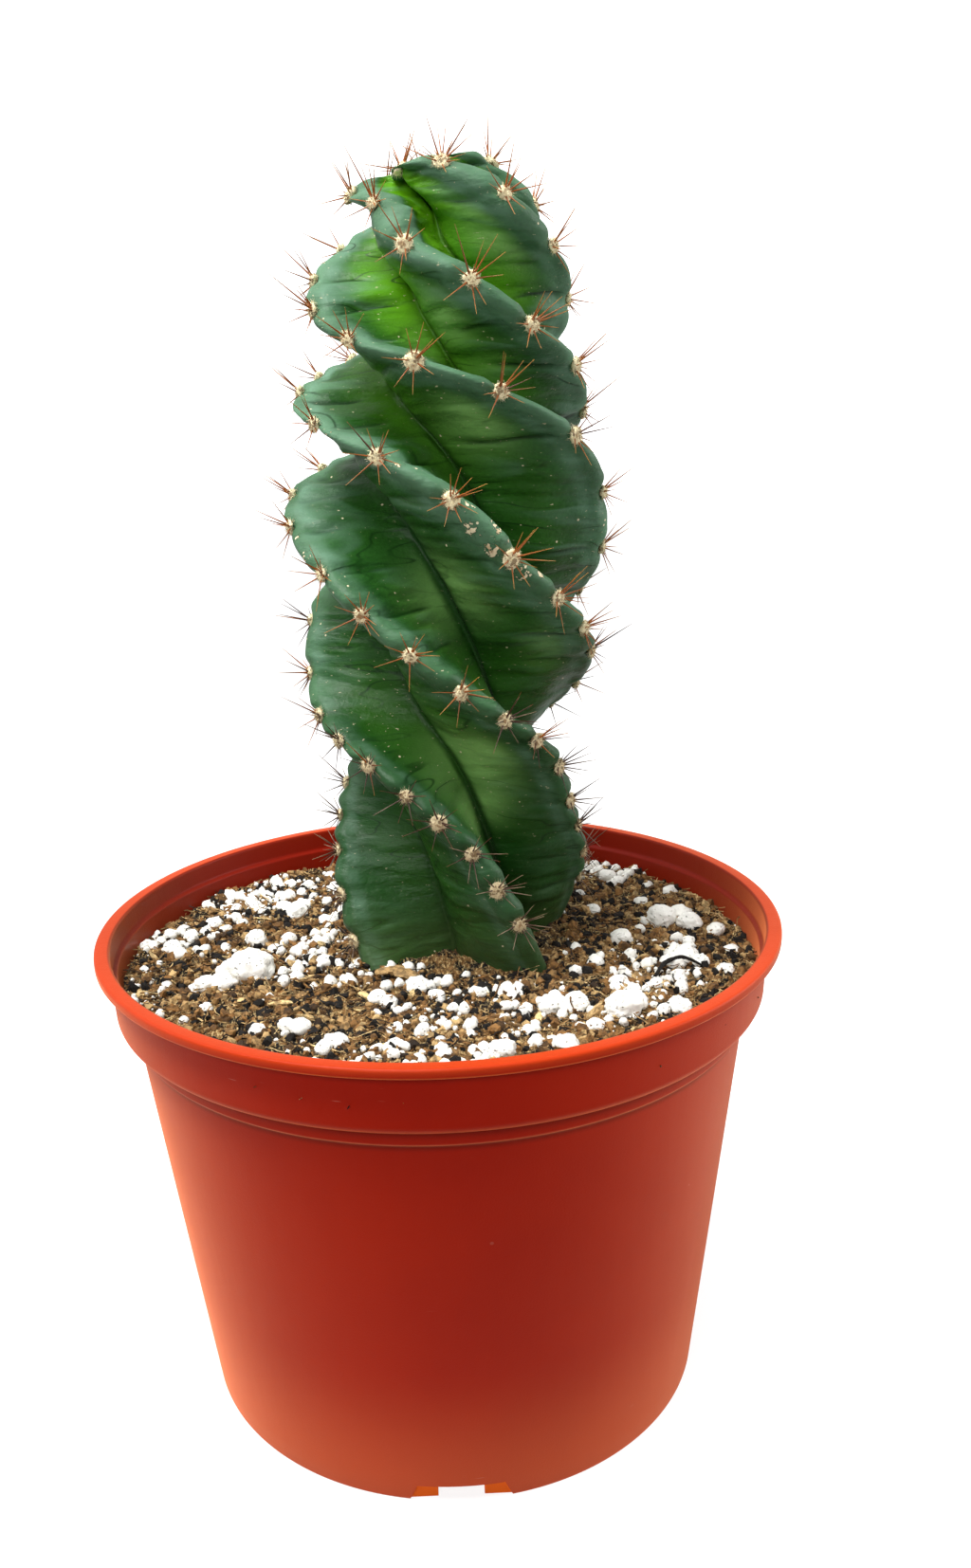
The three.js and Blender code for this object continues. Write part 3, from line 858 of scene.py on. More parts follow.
@dataclass(frozen=True)
class PerliteStone(Finish):
    """White expanded stone with fine pores and a little peat dust."""

    name: str = "perlite_stone"
    white: tuple = linear(246, 244, 236)
    # grey for the painted shade in the pores, and for cloudy grey tone
    grey: tuple = linear(198, 194, 182)
    dust: tuple = linear(140, 112, 80)

    def paint(self, book: NodeBook, shader: bpy.types.Node) -> None:
        """Paints grey painted shade in the pores and dusts the lower side.

        Args:
            book: the material's tree.
            shader: the Principled node.
        """
        pores = book.cells(1100.0)
        clouds = book.speckle(330.0, 4.0)
        grain = book.speckle(2400.0, 3.0)
        # painted shade: the pores grey
        colour = book.mix(pores.rise(0.22, 0.06) * 0.7, self.white, self.grey)
        colour = book.mix(clouds.rise(0.58, 0.8) * 0.5, colour, self.grey)
        dusty = book.speckle(700.0, 4.0).rise(0.62, 0.72) * book.height().rise(0.109, 0.1045)
        colour = book.mix(dusty * 0.7, colour, self.dust)
        relief = pores.rise(0.05, 0.3) + grain * 0.4 + clouds * 0.8
        self.set(book, shader, Base_Color=colour, Roughness=0.86 + grain * 0.1)
        self.set(book, shader, Normal=book.bump(relief, 0.0004))


@dataclass(frozen=True)
class PotPlastic(Finish):
    """Terracotta-coloured moulded plastic with a satin sheen, flow marks, scuffs, and painted
    shadows and highlights.
    """

    name: str = "pot_plastic"
    clay: tuple = linear(172, 26, 0)
    deep: tuple = linear(156, 14, 0)
    # lighter orange for the painted highlights on the lip's top and its lower edge
    rim: tuple = linear(238, 104, 44)
    # darker red for the painted shade on the pot's inside wall
    inner: tuple = linear(104, 12, 2)
    # near-black red for the painted shadows under the collar, the belt's step and the lip
    painted_shadow: tuple = linear(56, 0, 0)
    # the shader's sheen tint, also painted low on the pot as reflected floor light
    sheen: tuple = linear(255, 142, 86)
    # bright orange for the painted light in the notch recesses
    painted_notch_light: tuple = linear(236, 100, 22)
    scuff: tuple = linear(232, 196, 176)
    # heights in metres at which a line round the pot starts, is full, fades and ends
    # the first band is a painted highlight, the other three painted shadows
    lip_edge_highlight: tuple = (0.1137, 0.1139, 0.1141, 0.1144)
    lip_shadow: tuple = (0.111, 0.1136, 0.1137, 0.1139)
    collar_shadow: tuple = (0.0968, 0.0996, 0.1, 0.1004)
    belt_shadow: tuple = (0.0938, 0.0956, 0.0957, 0.0962)

    def paint(self, book: NodeBook, shader: bpy.types.Node) -> None:
        """Paints the plastic, its painted shade and highlights, and its small marks.

        Args:
            book: the material's tree.
            shader: the Principled node.
        """
        level = book.height()
        broad = book.speckle(16.0, 3.0)
        flow = book.speckle(90.0, 3.0, book.stretched((1.0, 1.0, 0.12)))
        fine = book.speckle(2600.0, 3.0)
        colour = book.mix(broad.rise(0.3, 0.7) * 0.6 + flow * 0.2, self.clay, self.deep)
        # painted reflection of the floor: the lowest four centimetres lighter
        colour = book.mix(level.rise(0.04, 0.0) * 0.22, colour, self.sheen)
        # painted highlight: the lip's top lighter orange
        colour = book.mix(level.rise(0.1137, 0.1158) * 0.2, colour, self.rim)
        colour = self.shaded(book, colour, level)
        nicks = book.cells(90.0).rise(0.05, 0.02) * book.cells(90.0, "Color").rise(0.75, 0.8)
        rubs = book.speckle(520.0, 2.0, book.stretched((0.25, 0.25, 3.0))).rise(0.74, 0.8)
        marks = nicks * 0.8 + rubs * broad.rise(0.5, 0.65) * 0.3
        colour = book.mix(marks, colour, self.scuff)
        dull = 0.3 + broad * 0.08 + fine * 0.06 + marks * 0.3
        self.set(book, shader, Base_Color=colour, Roughness=dull, Specular_IOR_Level=0.08)
        self.set(book, shader, Sheen_Weight=0.82, Sheen_Roughness=0.42, Sheen_Tint=self.sheen)
        normal = book.bump(flow, 0.0004, 0.25)
        self.set(book, shader, Normal=book.bump(fine, 0.00006, 0.5, normal))

    def shaded(self, book: NodeBook, colour: Wire, level: Wire) -> Wire:
        """Adds painted shade and painted light to the pot's parts.

        Args:
            book: the material's tree.
            colour: the plastic's colour.
            level: the height in metres.

        Returns:
            The colour, with painted shade inside, at the belt and under the lip, and painted light
            in the notches and on the lip's lower edge.
        """
        flat = book.stretched((1.0, 1.0, 0.0))
        radius = book.length(flat)
        ends = {0: book.add("ShaderNodeNewGeometry", output="Normal"), 1: flat}
        outward = book.add("ShaderNodeVectorMath", {"operation": "DOT_PRODUCT"}, ends, "Value")
        # painted shade: the inside wall above the soil darker
        inside = outward.rise(-0.005, -0.04) * level.rise(0.0995, 0.1005)
        colour = book.mix(inside * 0.9, colour, self.inner)
        # painted light: the recesses of the foot's notches bright orange
        recess = radius.rise(0.061, 0.0606) * level.rise(0.00455, 0.0043)
        colour = book.mix(recess, colour, self.painted_notch_light)
        # painted shadows under the collar's step, the belt's lower step and the lip
        steps = level.band(*self.collar_shadow) + level.band(*self.belt_shadow)
        dim = steps + level.band(*self.lip_shadow)
        painted_shadow = dim * radius.rise(0.0776, 0.0774) * (1.0 - inside)
        colour = book.mix(painted_shadow * 0.6, colour, self.painted_shadow)
        # painted highlight along the lip's lower edge
        edge = level.band(*self.lip_edge_highlight) * radius.rise(0.079, 0.0794)
        return book.mix(edge * 0.5, colour, self.rim)


@dataclass(frozen=True)
class StudioPaper(Finish):
    """The white floor under the pot: bright to the camera, and dim to what stands on it."""

    name: str = "studio_paper"
    paper: tuple = (0.26, 0.26, 0.255, 1.0)
    shade: tuple = (0.23, 0.23, 0.225, 1.0)
    dim: tuple = (0.02, 0.02, 0.02, 1.0)
    lit: tuple = (0.34, 0.34, 0.34, 1.0)
    near: tuple = (0.86, 0.86, 0.86, 1.0)
    far: tuple = (1.05, 1.05, 1.05, 1.0)

    def paint(self, book: NodeBook, shader: bpy.types.Node) -> None:
        """Paints the floor almost white, with a trace of grain.

        Args:
            book: the material's tree.
            shader: the Principled node.
        """
        grain = book.speckle(60.0, 3.0)
        colour = book.mix(grain, self.paper, self.shade)
        away = book.length(book.place())
        seen = book.add("ShaderNodeLightPath", output="Is Camera Ray")
        glow = book.mix(away.rise(0.07, 0.22), self.near, self.far)
        x, y, _ = book.parts(book.place())
        aside = book.add("ShaderNodeMath", {"operation": "ABSOLUTE"}, {0: x})
        # painted light: to what stands on it the floor glows dim in front of the pot and brighter
        # beside and behind it
        round_pot = 1.0 - (1.0 - (y + aside * 0.6).rise(-0.12, 0.08)) * away.rise(0.095, 0.14)
        glow = book.mix(seen, book.mix(round_pot, self.dim, self.lit), glow)
        self.set(book, shader, Base_Color=colour, Roughness=0.9, Specular_IOR_Level=0.1)
        self.set(book, shader, Emission_Color=glow, Emission_Strength=1.0)


# The plant


def through(rows: np.ndarray, place: np.ndarray) -> np.ndarray:
    """A smooth curve through the rows of a table.

    Args:
        rows: (n, columns) values.
        place: fractional row numbers.

    Returns:
        (places, columns) values.
    """
    last = len(rows) - 1
    first = np.clip(np.floor(place).astype(int), 0, last - 1)
    t = (place - first)[:, None]
    p0, p1, p2, p3 = (rows[np.clip(first + step, 0, last)] for step in (-1, 0, 1, 2))
    square = 2 * p0 - 5 * p1 + 4 * p2 - p3
    cube = 3 * p1 - 3 * p2 + p3 - p0
    return 0.5 * (2 * p1 + (p2 - p0) * t + square * t * t + cube * t**3)


@dataclass
class Level:
    """Sizes of the stem at some places: a column for each size, and a row for each place."""

    height: np.ndarray
    middle: np.ndarray
    tilt: np.ndarray
    crest: np.ndarray
    furrow: np.ndarray
    half: np.ndarray
    lean: np.ndarray
    turns: np.ndarray

    def bearing(self, rib: int) -> np.ndarray:
        """Direction of a rib's crest, in degrees about the stem."""
        return self.turns[:, rib : rib + 1] - 90.0 * rib


@dataclass
class StemForm:
    """The twisted column by which all of the plant is placed; the solids use the same sizes.

    A level is the height and x of its middle, how far it tips up to the right for each
    millimetre, the crest radius in the notches, the furrow radius, half a crest's width, by how
    many degrees the furrows lean to the rib below, and how far each of the four ribs has turned,
    in degrees. The steps of a rib are the distances down its crest from the tip to its first
    areole, and then from each areole to the next.
    """

    levels: tuple = (
        (81, 6.2, 0, 9, 4, 2.4, 0, 800, 806, 804, 801),
        (87, 6.2, 0, 21, 7, 3, 0, 782, 788, 786, 783),
        (96, 6.2, 0, 26, 8.6, 3.2, 0, 765, 771, 769, 765),
        (110, 6.2, 0, 28.6, 9.6, 3.2, -2, 745, 755, 750, 745),
        (125, 6.2, 0, 29.6, 10.5, 3.3, -4, 728, 739, 735, 727),
        (140, 5.8, 0, 27.8, 11, 3.4, -8, 704, 721, 712, 707),
        (155, 5.2, 0, 27.6, 11, 3.5, -9, 685, 684, 673, 680),
        (170, 4.8, 0, 31.4, 11, 3.6, -6, 644, 628, 614, 640),
        (185, 5, 0, 33.4, 11.5, 3.7, -3, 610, 609, 573, 599),
        (200, 5.5, 0, 34.6, 12, 3.8, -5, 576, 570, 541, 563),
        (213, 5.7, 0, 34.3, 12, 3.8, -16, 532, 529, 529, 541),
        (225, 5.4, 0, 32.4, 11.5, 3.8, -19, 465, 475, 503, 502),
        (236, 5.3, 0, 30.2, 10.5, 3.8, -18, 420, 436, 457, 434),
        (246, 5.8, 0, 29.2, 10, 3.8, -3, 384, 394, 400, 379),
        (254, 6.2, 0, 27.4, 9, 4, -6, 369, 370, 373, 356),
        (262, 6.7, 0, 23.6, 8, 4.4, -18, 336, 337, 343, 327),
        (269, 7.5, 0.02, 20.4, 6.5, 4.8, -20, 308, 320, 310, 287),
        (274.3, 4.4, 0.12, 16, 4.6, 4.6, -6, 293, 281, 278, 278),
        (277.4, 2, 0.22, 9.8, 2.8, 3.6, 8, 263, 266, 258, 259),
        (274.6, 0.4, 0.3, 3, 1.6, 1.5, 0, 236, 245, 241, 249),
    )
    steps: tuple = (
        (5, 11, 14, 16, 18, 16, 16, 16, 17, 16, 16, 15, 18, 13, 13, 13, 12, 11, 13, 11, 9, 11, 10),
        (2, 10, 13, 14, 15, 15, 18, 19, 16, 17, 17, 16, 17, 17, 13, 14, 10, 10, 11, 9, 10, 10, 10),
        (9, 14, 15, 14, 12, 15, 15, 18, 21, 19, 14, 17, 12, 12, 12, 12, 12, 12, 13, 9, 9, 11, 11),
        (5, 11, 13, 15, 16, 15, 16, 12, 11, 24, 19, 17, 17, 15, 14, 12, 18, 11, 11, 11, 10, 10, 10),
    )
    middle_y: float = 5.0
    tip_pit: float = 0.8
    ribs: int = 4
    puff: float = 0.9
    tip_puff: float = 0.6
    widen: float = 0.16
    under_bulge: float = 0.13
    lowest_areole: float = 109.0
    tip_heart: float = 264.0

    def __post_init__(self) -> None:
        """Walks the crests down from the tip to place the areoles."""
        self.table = np.array(self.levels, float)
        self.last = len(self.table) - 1.0
        self.fine = np.linspace(0.0, self.last, 3001)
        level = self.level(self.fine)
        steps = np.hypot(np.diff(level.height[:, 0]), np.diff(level.crest[:, 0]))
        self.climb = np.concatenate([[0.0], np.cumsum(steps)])
        self.areoles = [self._walk(rib) for rib in range(self.ribs)]

    def _walk(self, rib: int) -> np.ndarray:
        """The places of one rib's areoles, from the tip down."""
        places = self.fine[::-1]
        path = self.crest_point(places, rib)
        walked = np.concatenate([[0.0], np.cumsum(np.linalg.norm(np.diff(path, axis=0), axis=1))])
        return np.interp(np.cumsum(self.steps[rib]), walked, places)

    def level(self, place: np.ndarray | float) -> Level:
        """The stem's sizes at some places between two levels."""
        columns = through(self.table, np.atleast_1d(place)).T
        sizes = [column[:, None] for column in columns[:7]]
        return Level(*sizes, columns[7:].T)

    def point(
        self,
        level: Level,
        bearing: np.ndarray,
        along: np.ndarray | float,
        across: np.ndarray | float,
    ) -> np.ndarray:
        """Points by their level, a rib's bearing, and their offsets along and across that.

        Args:
            level: the stem's sizes at each place.
            bearing: the rib's direction in degrees.
            along: how far out the rib's own way, in millimetres.
            across: how far round from there.

        Returns:
            An array of points in millimetres.
        """
        turn = np.radians(bearing)
        right = along * np.cos(turn) - across * np.sin(turn)
        back = self.middle_y + along * np.sin(turn) + across * np.cos(turn)
        rise = level.height + level.tilt * right
        return np.stack(np.broadcast_arrays(level.middle + right, back, rise), -1)

    def crest_point(self, place: np.ndarray | float, rib: int) -> np.ndarray:
        """Points of a rib's crest line, at the depth of its notches."""
        level = self.level(place)
        return self.point(level, level.bearing(rib), level.crest, 0.0)[:, 0]

    def climb_at(self, place: np.ndarray) -> np.ndarray:
        """How far up the stem's side a place is, in millimetres from the buried end."""
        return np.interp(place, self.fine, self.climb)

    def place_at(self, height: float) -> float:
        """The place of a height below the tip's bend."""
        return float(np.interp(height, self.table[:-2, 0], np.arange(len(self.table) - 2)))

    def swell(self, place: np.ndarray, rib: int) -> np.ndarray:
        """How far a crest swells: 0 at an areole and 1 half way to the next.

        Args:
            place: places on the stem.
            rib: which rib.

        Returns:
            The swell at each place.
        """
        down = self.areoles[rib]
        swell = np.full(place.shape, 0.0)
        swell[place > down[0]] = self.tip_puff
        for upper, lower in zip(down[:-1], down[1:]):
            inside = (place <= upper) & (place >= lower)
            swell[inside] = np.sin(math.pi * (upper - place[inside]) / (upper - lower))
        return swell

    def areole_frame(self, place: float, rib: int) -> tuple[np.ndarray, ...]:
        """Where an areole sits.

        Args:
            place: its place on the stem.
            rib: its rib.

        Returns:
            Its centre, the way it faces, the way up the crest, and the way across it.
        """
        centre, below = self.crest_point(np.array([place, place - 0.1]), rib)
        along = unit(centre - below)
        middle = float(self.level(place).middle[0, 0])
        heart = np.array([middle, self.middle_y, min(centre[2], self.tip_heart)])
        out = centre - heart
        out = unit(out - along * float(out @ along))
        return centre, out, along, np.cross(out, along)


@dataclass
class Wrinkle:
    """A fold that runs across one flank, nearly level."""

    rib: int
    side: int
    climb: float
    slope: float
    wave: float
    phase: float
    depth: float
    width: float
    start: float
    end: float


@dataclass
class CactusBody:
    """The stem's skin: four ribs with rounded crests, swollen flanks and level folds."""

    form: StemForm
    row_step: float = 0.5
    buried_step: float = 3.0
    soil_level: float = 104.0
    cap_columns: int = 8
    flank_columns: int = 21
    tip_bulge: float = 0.2
    old_fold: float = 0.4
    fold_step: float = 4.2
    cap_share: float = 0.22
    tip_places: tuple = (15.0, 17.0)
    grown_heights: tuple = (150.0, 205.0)
    fold_chance: float = 0.85
    fine_fold: float = 0.45
    fine_places: tuple = (0.25, 0.5, 0.75)
    dent: float = 0.6
    dent_width: float = 2.3
    dent_reach: float = 14.0
    shoulder: float = 0.35
    shoulder_place: float = 4.2
    shoulder_width: float = 1.6
    seed: int = 17
    # rib, height, place across the crest, and radius of each corky scar
    scars: tuple = (
        (3, 208.5, 2.2, 2.4), (3, 206.0, -2.4, 2.0), (3, 204.0, 1.6, 2.6), (3, 211.0, -1.8, 1.8),
        (3, 202.6, -3.0, 1.6), (3, 198.4, 0.6, 2.0), (3, 213.0, 1.2, 1.6), (3, 209.6, -3.4, 1.5),
        (3, 200.6, 2.4, 1.8), (3, 196.4, -1.6, 1.5), (3, 205.2, 4.4, 1.6), (3, 201.4, -0.6, 1.4),
        (0, 208.4, 0.4, 1.4), (0, 198.0, 0.0, 1.5), (2, 225.4, 3.0, 1.2), (2, 216.6, 9.4, 1.3),
        (0, 201.5, 0.3, 2.2), (0, 204.6, -0.6, 1.3), (3, 226.0, 0.6, 1.4), (3, 219.4, -0.4, 1.3),
        (2, 219.0, 6.0, 1.7), (2, 214.5, 7.5, 1.4),
    )
    # middle and radius of the paler parts of the flanks
    pale_spots: tuple = (
        (9.7, -10.0, 157.1, 9.0),
        (10.4, -9.0, 144.7, 6.0),
        (6.7, -12.0, 194.0, 8.0),
        (6.7, -12.0, 247.6, 6.0),
        (18.7, -10.0, 265.3, 8.0),
        (12.8, -14.0, 231.1, 8.0),
        (30.6, -14.0, 177.1, 7.0),
    )

    def rows(self) -> np.ndarray:
        """Places of the skin's rings, even steps apart up the stem's side.

        Returns:
            The places, from the buried end to the tip.
        """
        form = self.form
        low = float(form.climb_at(np.array(form.place_at(self.soil_level))))
        top = float(form.climb[-1])
        buried = np.arange(0.0, low, self.buried_step)
        shown = np.linspace(low, top, int((top - low) / self.row_step))
        return np.interp(np.concatenate([buried, shown]), form.climb, form.fine)

    def flank(self, place: np.ndarray, rib: int, side: int) -> tuple[np.ndarray, ...]:
        """One side of a rib's section at each place.

        Args:
            place: the places of the rings.
            rib: which rib.
            side: -1 for the side over the furrow below, 1 for the other.

        Returns:
            Offsets along and across the rib, (places, columns), and each column's share of the
            way from the crest to the furrow.
        """
        form = self.form
        level = form.level(place)
        swell = form.swell(place, rib)[:, None]
        crest = level.crest + form.puff * swell
        half = level.half * (1.0 + form.widen * (swell - form.tip_puff))
        furrow = level.furrow / math.sqrt(2.0)
        cap = np.minimum(0.9 * half, 0.4 * (crest - furrow))
        bend = np.linspace(0.0, math.pi / 2, self.cap_columns + 1)[None, :]
        cap_along = crest - cap * (1.0 - np.cos(bend))
        cap_across = half * np.sin(bend)
        t = np.linspace(0.0, 1.0, self.flank_columns + 1)[None, 1:]
        start = crest - cap
        tip = smooth(*self.tip_places, place)[:, None]
        under = form.under_bulge + self.tip_bulge * tip
        bulge = (under if side < 0 else 0.0) * (start - furrow)
        shoulder = (half - level.half) * np.clip(1.0 - t / 0.45, 0.0, 1.0) ** 2
        flank_along = start + (furrow - start) * t
        flank_across = level.half + shoulder + (furrow - level.half) * t
        flank_across = flank_across + bulge * np.sin(math.pi * t ** (1.0 + 0.5 * tip))
        cap_share = np.linspace(0.0, self.cap_share, self.cap_columns + 1)
        share = np.concatenate([cap_share, self.cap_share + (1.0 - self.cap_share) * t[0]])
        along = np.concatenate([cap_along, flank_along], 1)
        across = np.concatenate([cap_across, flank_across], 1)
        return along, across, share

    def wrinkles(self) -> list[Wrinkle]:
        """The folds: a strong one from most areoles and finer ones between.

        Returns:
            All folds of all ribs.
        """
        draw = np.random.default_rng(self.seed)
        heights = self.form.level(self.form.fine).height[:, 0]
        folds = []
        for rib, places in enumerate(self.form.areoles):
            climbs = self.form.climb_at(places)
            for upper, lower in zip(climbs, np.append(climbs[1:], climbs[-1] - 10.0)):
                for side in (-1, 1):
                    height = float(np.interp(upper, self.form.climb, heights))
                    grown = smooth(*self.grown_heights, height)
                    strength = self.old_fold + (1 - self.old_fold) * grown
                    if draw.random() < self.fold_chance:
                        folds.append(self._fold(draw, rib, side, upper, strength))
                    for share in self.fine_places:
                        climb = lower + (upper - lower) * (share + draw.uniform(-0.1, 0.1))
                        fine = self.fine_fold * strength
                        folds.append(self._fold(draw, rib, side, climb, fine))
        return folds

    @staticmethod
    def _fold(
        draw: np.random.Generator, rib: int, side: int, climb: float, strength: float
    ) -> Wrinkle:
        """One fold with its own slope, wave and depth.

        Args:
            draw: the random numbers.
            rib: the rib that it is on.
            side: -1 or 1, as for a flank.
            climb: how far up the stem's side it starts.
            strength: its depth's upper limit, in millimetres.

        Returns:
            The fold.
        """
        strong = strength > 0.5
        return Wrinkle(
            rib=rib,
            side=side,
            climb=climb,
            slope=draw.uniform(-3.5, 1.5),
            wave=draw.uniform(0.3, 1.3),
            phase=draw.uniform(0.0, FULL_TURN),
            depth=strength * draw.uniform(0.35, 1.0),
            width=draw.uniform(0.5, 0.8) if strong else draw.uniform(0.4, 0.65),
            start=0.16 if strong else draw.uniform(0.2, 0.5),
            end=draw.uniform(0.6, 1.0) if strong else draw.uniform(0.55, 0.95),
        )

    def build(self) -> bpy.types.Object:
        """Makes the skin, with what its finish needs stored on its points.

        Returns:
            The stem as one closed mesh.
        """
        form = self.form
        place = self.rows()
        level = form.level(place)
        climb = form.climb_at(place)[:, None]
        folds = self.wrinkles()
        strips = []
        for quarter in range(form.ribs):
            rib = (form.ribs - quarter) % form.ribs
            for side in (-1, 1):
                along, across, share = self.flank(place, rib, side)
                order = slice(-2, 0, -1) if side < 0 else slice(None)
                neighbour = (rib - side) % form.ribs
                pull = (level.turns[:, neighbour] - level.turns[:, rib])[:, None] / 2 + level.lean
                radius = np.hypot(along, across)
                depth = np.clip((radius[:, :1] - radius) / (radius[:, :1] - radius[:, -1:]), 0, 1)
                bearing = level.bearing(rib) + pull * depth**1.5
                points = form.point(level, bearing, along, side * across)
                relief, crease = self._folded(folds, rib, side, climb, share)
                flank = np.full(radius.shape, 2.0 * rib + side + 2.0)
                owner = np.full(radius.shape, rib)
                shares = np.broadcast_to(share, radius.shape)
                strip = (points, relief, crease, shares, owner, flank)
                strips.append([part[:, order] for part in strip])
        joined = [np.concatenate(parts, 1) for parts in zip(*strips)]
        skin, relief, crease, share, owner, flank = joined
        normal = self._normals(skin)
        relief += self._seats(skin, climb[:, 0], owner[0])
        relief += self._waves(skin) * smooth(0.0, 0.5, share)
        shown = smooth(self.soil_level - 3.0, self.soil_level + 2.0, skin[..., 2])
        skin = skin + normal * (relief * shown)[..., None]
        values = {
            "across": share,
            "crease": crease,
            "climb": np.broadcast_to(climb / self.fold_step, share.shape),
            "flank": flank,
        }
        return self._mesh(skin, values)

    def _folded(
        self, folds: list[Wrinkle], rib: int, side: int, climb: np.ndarray, share: np.ndarray
    ) -> tuple[np.ndarray, np.ndarray]:
        """Relief and painted shade of one flank's folds, in millimetres and from 0 to 1.

        Args:
            folds: all folds.
            rib: the flank's rib.
            side: the flank's side.
            climb: how far up each ring is.
            share: each column's share of the way to the furrow.

        Returns:
            The relief and the painted shade in the creases, (rings, columns) each.
        """
        relief = np.zeros((len(climb), len(share)))
        dark = np.zeros_like(relief)
        across = share[None, :]
        for fold in folds:
            if fold.rib != rib or fold.side != side:
                continue
            middle = fold.climb + fold.slope * across
            middle = middle + fold.wave * np.sin(4.0 * across + fold.phase)
            offset = climb - middle
            near = smooth(fold.start - 0.06, fold.start + 0.14, across)
            near = near * smooth(fold.end, fold.end - 0.3, across)
            relief -= 0.95 * fold.depth * near * bell(offset, fold.width)
            relief += 0.5 * fold.depth * near * bell(offset - 1.7, 1.2)
            # painted shade along each crease, stored on the skin as crease
            dark = np.maximum(dark, fold.depth * near * bell(offset + 0.1, 0.6 * fold.width))
        return relief, dark

    def _seats(self, skin: np.ndarray, climb: np.ndarray, owner: np.ndarray) -> np.ndarray:
        """Relief round the areoles: a dent under each, and a shoulder above it.

        Args:
            skin: (rings, columns, 3) points.
            climb: how far up each ring is.
            owner: the rib of each column.

        Returns:
            The relief in millimetres, (rings, columns).
        """
        relief = np.zeros(skin.shape[:2])
        for rib, places in enumerate(self.form.areoles):
            mine = np.flatnonzero(owner == rib)
            for place in places:
                centre, _, along, _ = self.form.areole_frame(place, rib)
                offset = np.abs(climb - self.form.climb_at(np.array(place)))
                rows = np.flatnonzero(offset < self.dent_reach)
                away = skin[np.ix_(rows, mine)] - centre
                distance = np.linalg.norm(away, axis=-1)
                above = smooth(-1.0, 3.0, away @ along)
                seat = -self.dent * bell(distance, self.dent_width)
                ring = bell(distance - self.shoulder_place, self.shoulder_width)
                seat += self.shoulder * ring * above
                relief[np.ix_(rows, mine)] += seat
        return relief

    @staticmethod
    def _waves(skin: np.ndarray) -> np.ndarray:
        """Broad unevenness of the flanks, in millimetres."""
        x, y, z = np.moveaxis(skin, -1, 0)
        wave = np.sin(0.31 * x + 0.17 * z) * np.cos(0.27 * y - 0.11 * z + 1.0)
        ripple = np.sin(0.62 * z + 0.2 * x) * np.sin(0.4 * y - 0.3 * x + 2.0)
        return 0.35 * wave + 0.16 * ripple

    @staticmethod
    def _normals(skin: np.ndarray) -> np.ndarray:
        """Outward directions of a grid of rings."""
        around = np.roll(skin, -1, 1) - np.roll(skin, 1, 1)
        upward = np.gradient(skin, axis=0)
        return unit(np.cross(around, upward))

    def _mesh(self, skin: np.ndarray, kept: dict[str, np.ndarray]) -> bpy.types.Object:
        """Closes the rings into one mesh and stores the finish's values on it.

        Args:
            skin: (rings, columns, 3) points.
            kept: the values for the finish, by name.

        Returns:
            The smooth stem.
        """
        rows, columns = skin.shape[:2]
        bottom = skin[0].mean(0)
        top = skin[-1].mean(0) - np.array([0.0, 0.0, self.form.tip_pit])
        points = np.concatenate([skin.reshape(-1, 3), [bottom, top]])
        scar = np.zeros(len(points))
        for rib, height, side_offset, radius in self.scars:
            centre, _, _, side = self.form.areole_frame(self.form.place_at(height), rib)
            away = np.linalg.norm(points - (centre + side * side_offset), axis=1)
            scar = np.maximum(scar, bell(away, radius))
        values = {name: np.append(kept[name].ravel(), [0.0, 0.0]) for name in kept}
        values["scar"] = scar
        pale = np.zeros(len(points))
        for *middle, radius in self.pale_spots:
            pale = np.maximum(pale, bell(np.linalg.norm(points - middle, axis=1), radius))
        values["pale"] = pale
        return smooth_shaded(mesh_object("stem_skin", points, tube_faces(rows, columns), values))


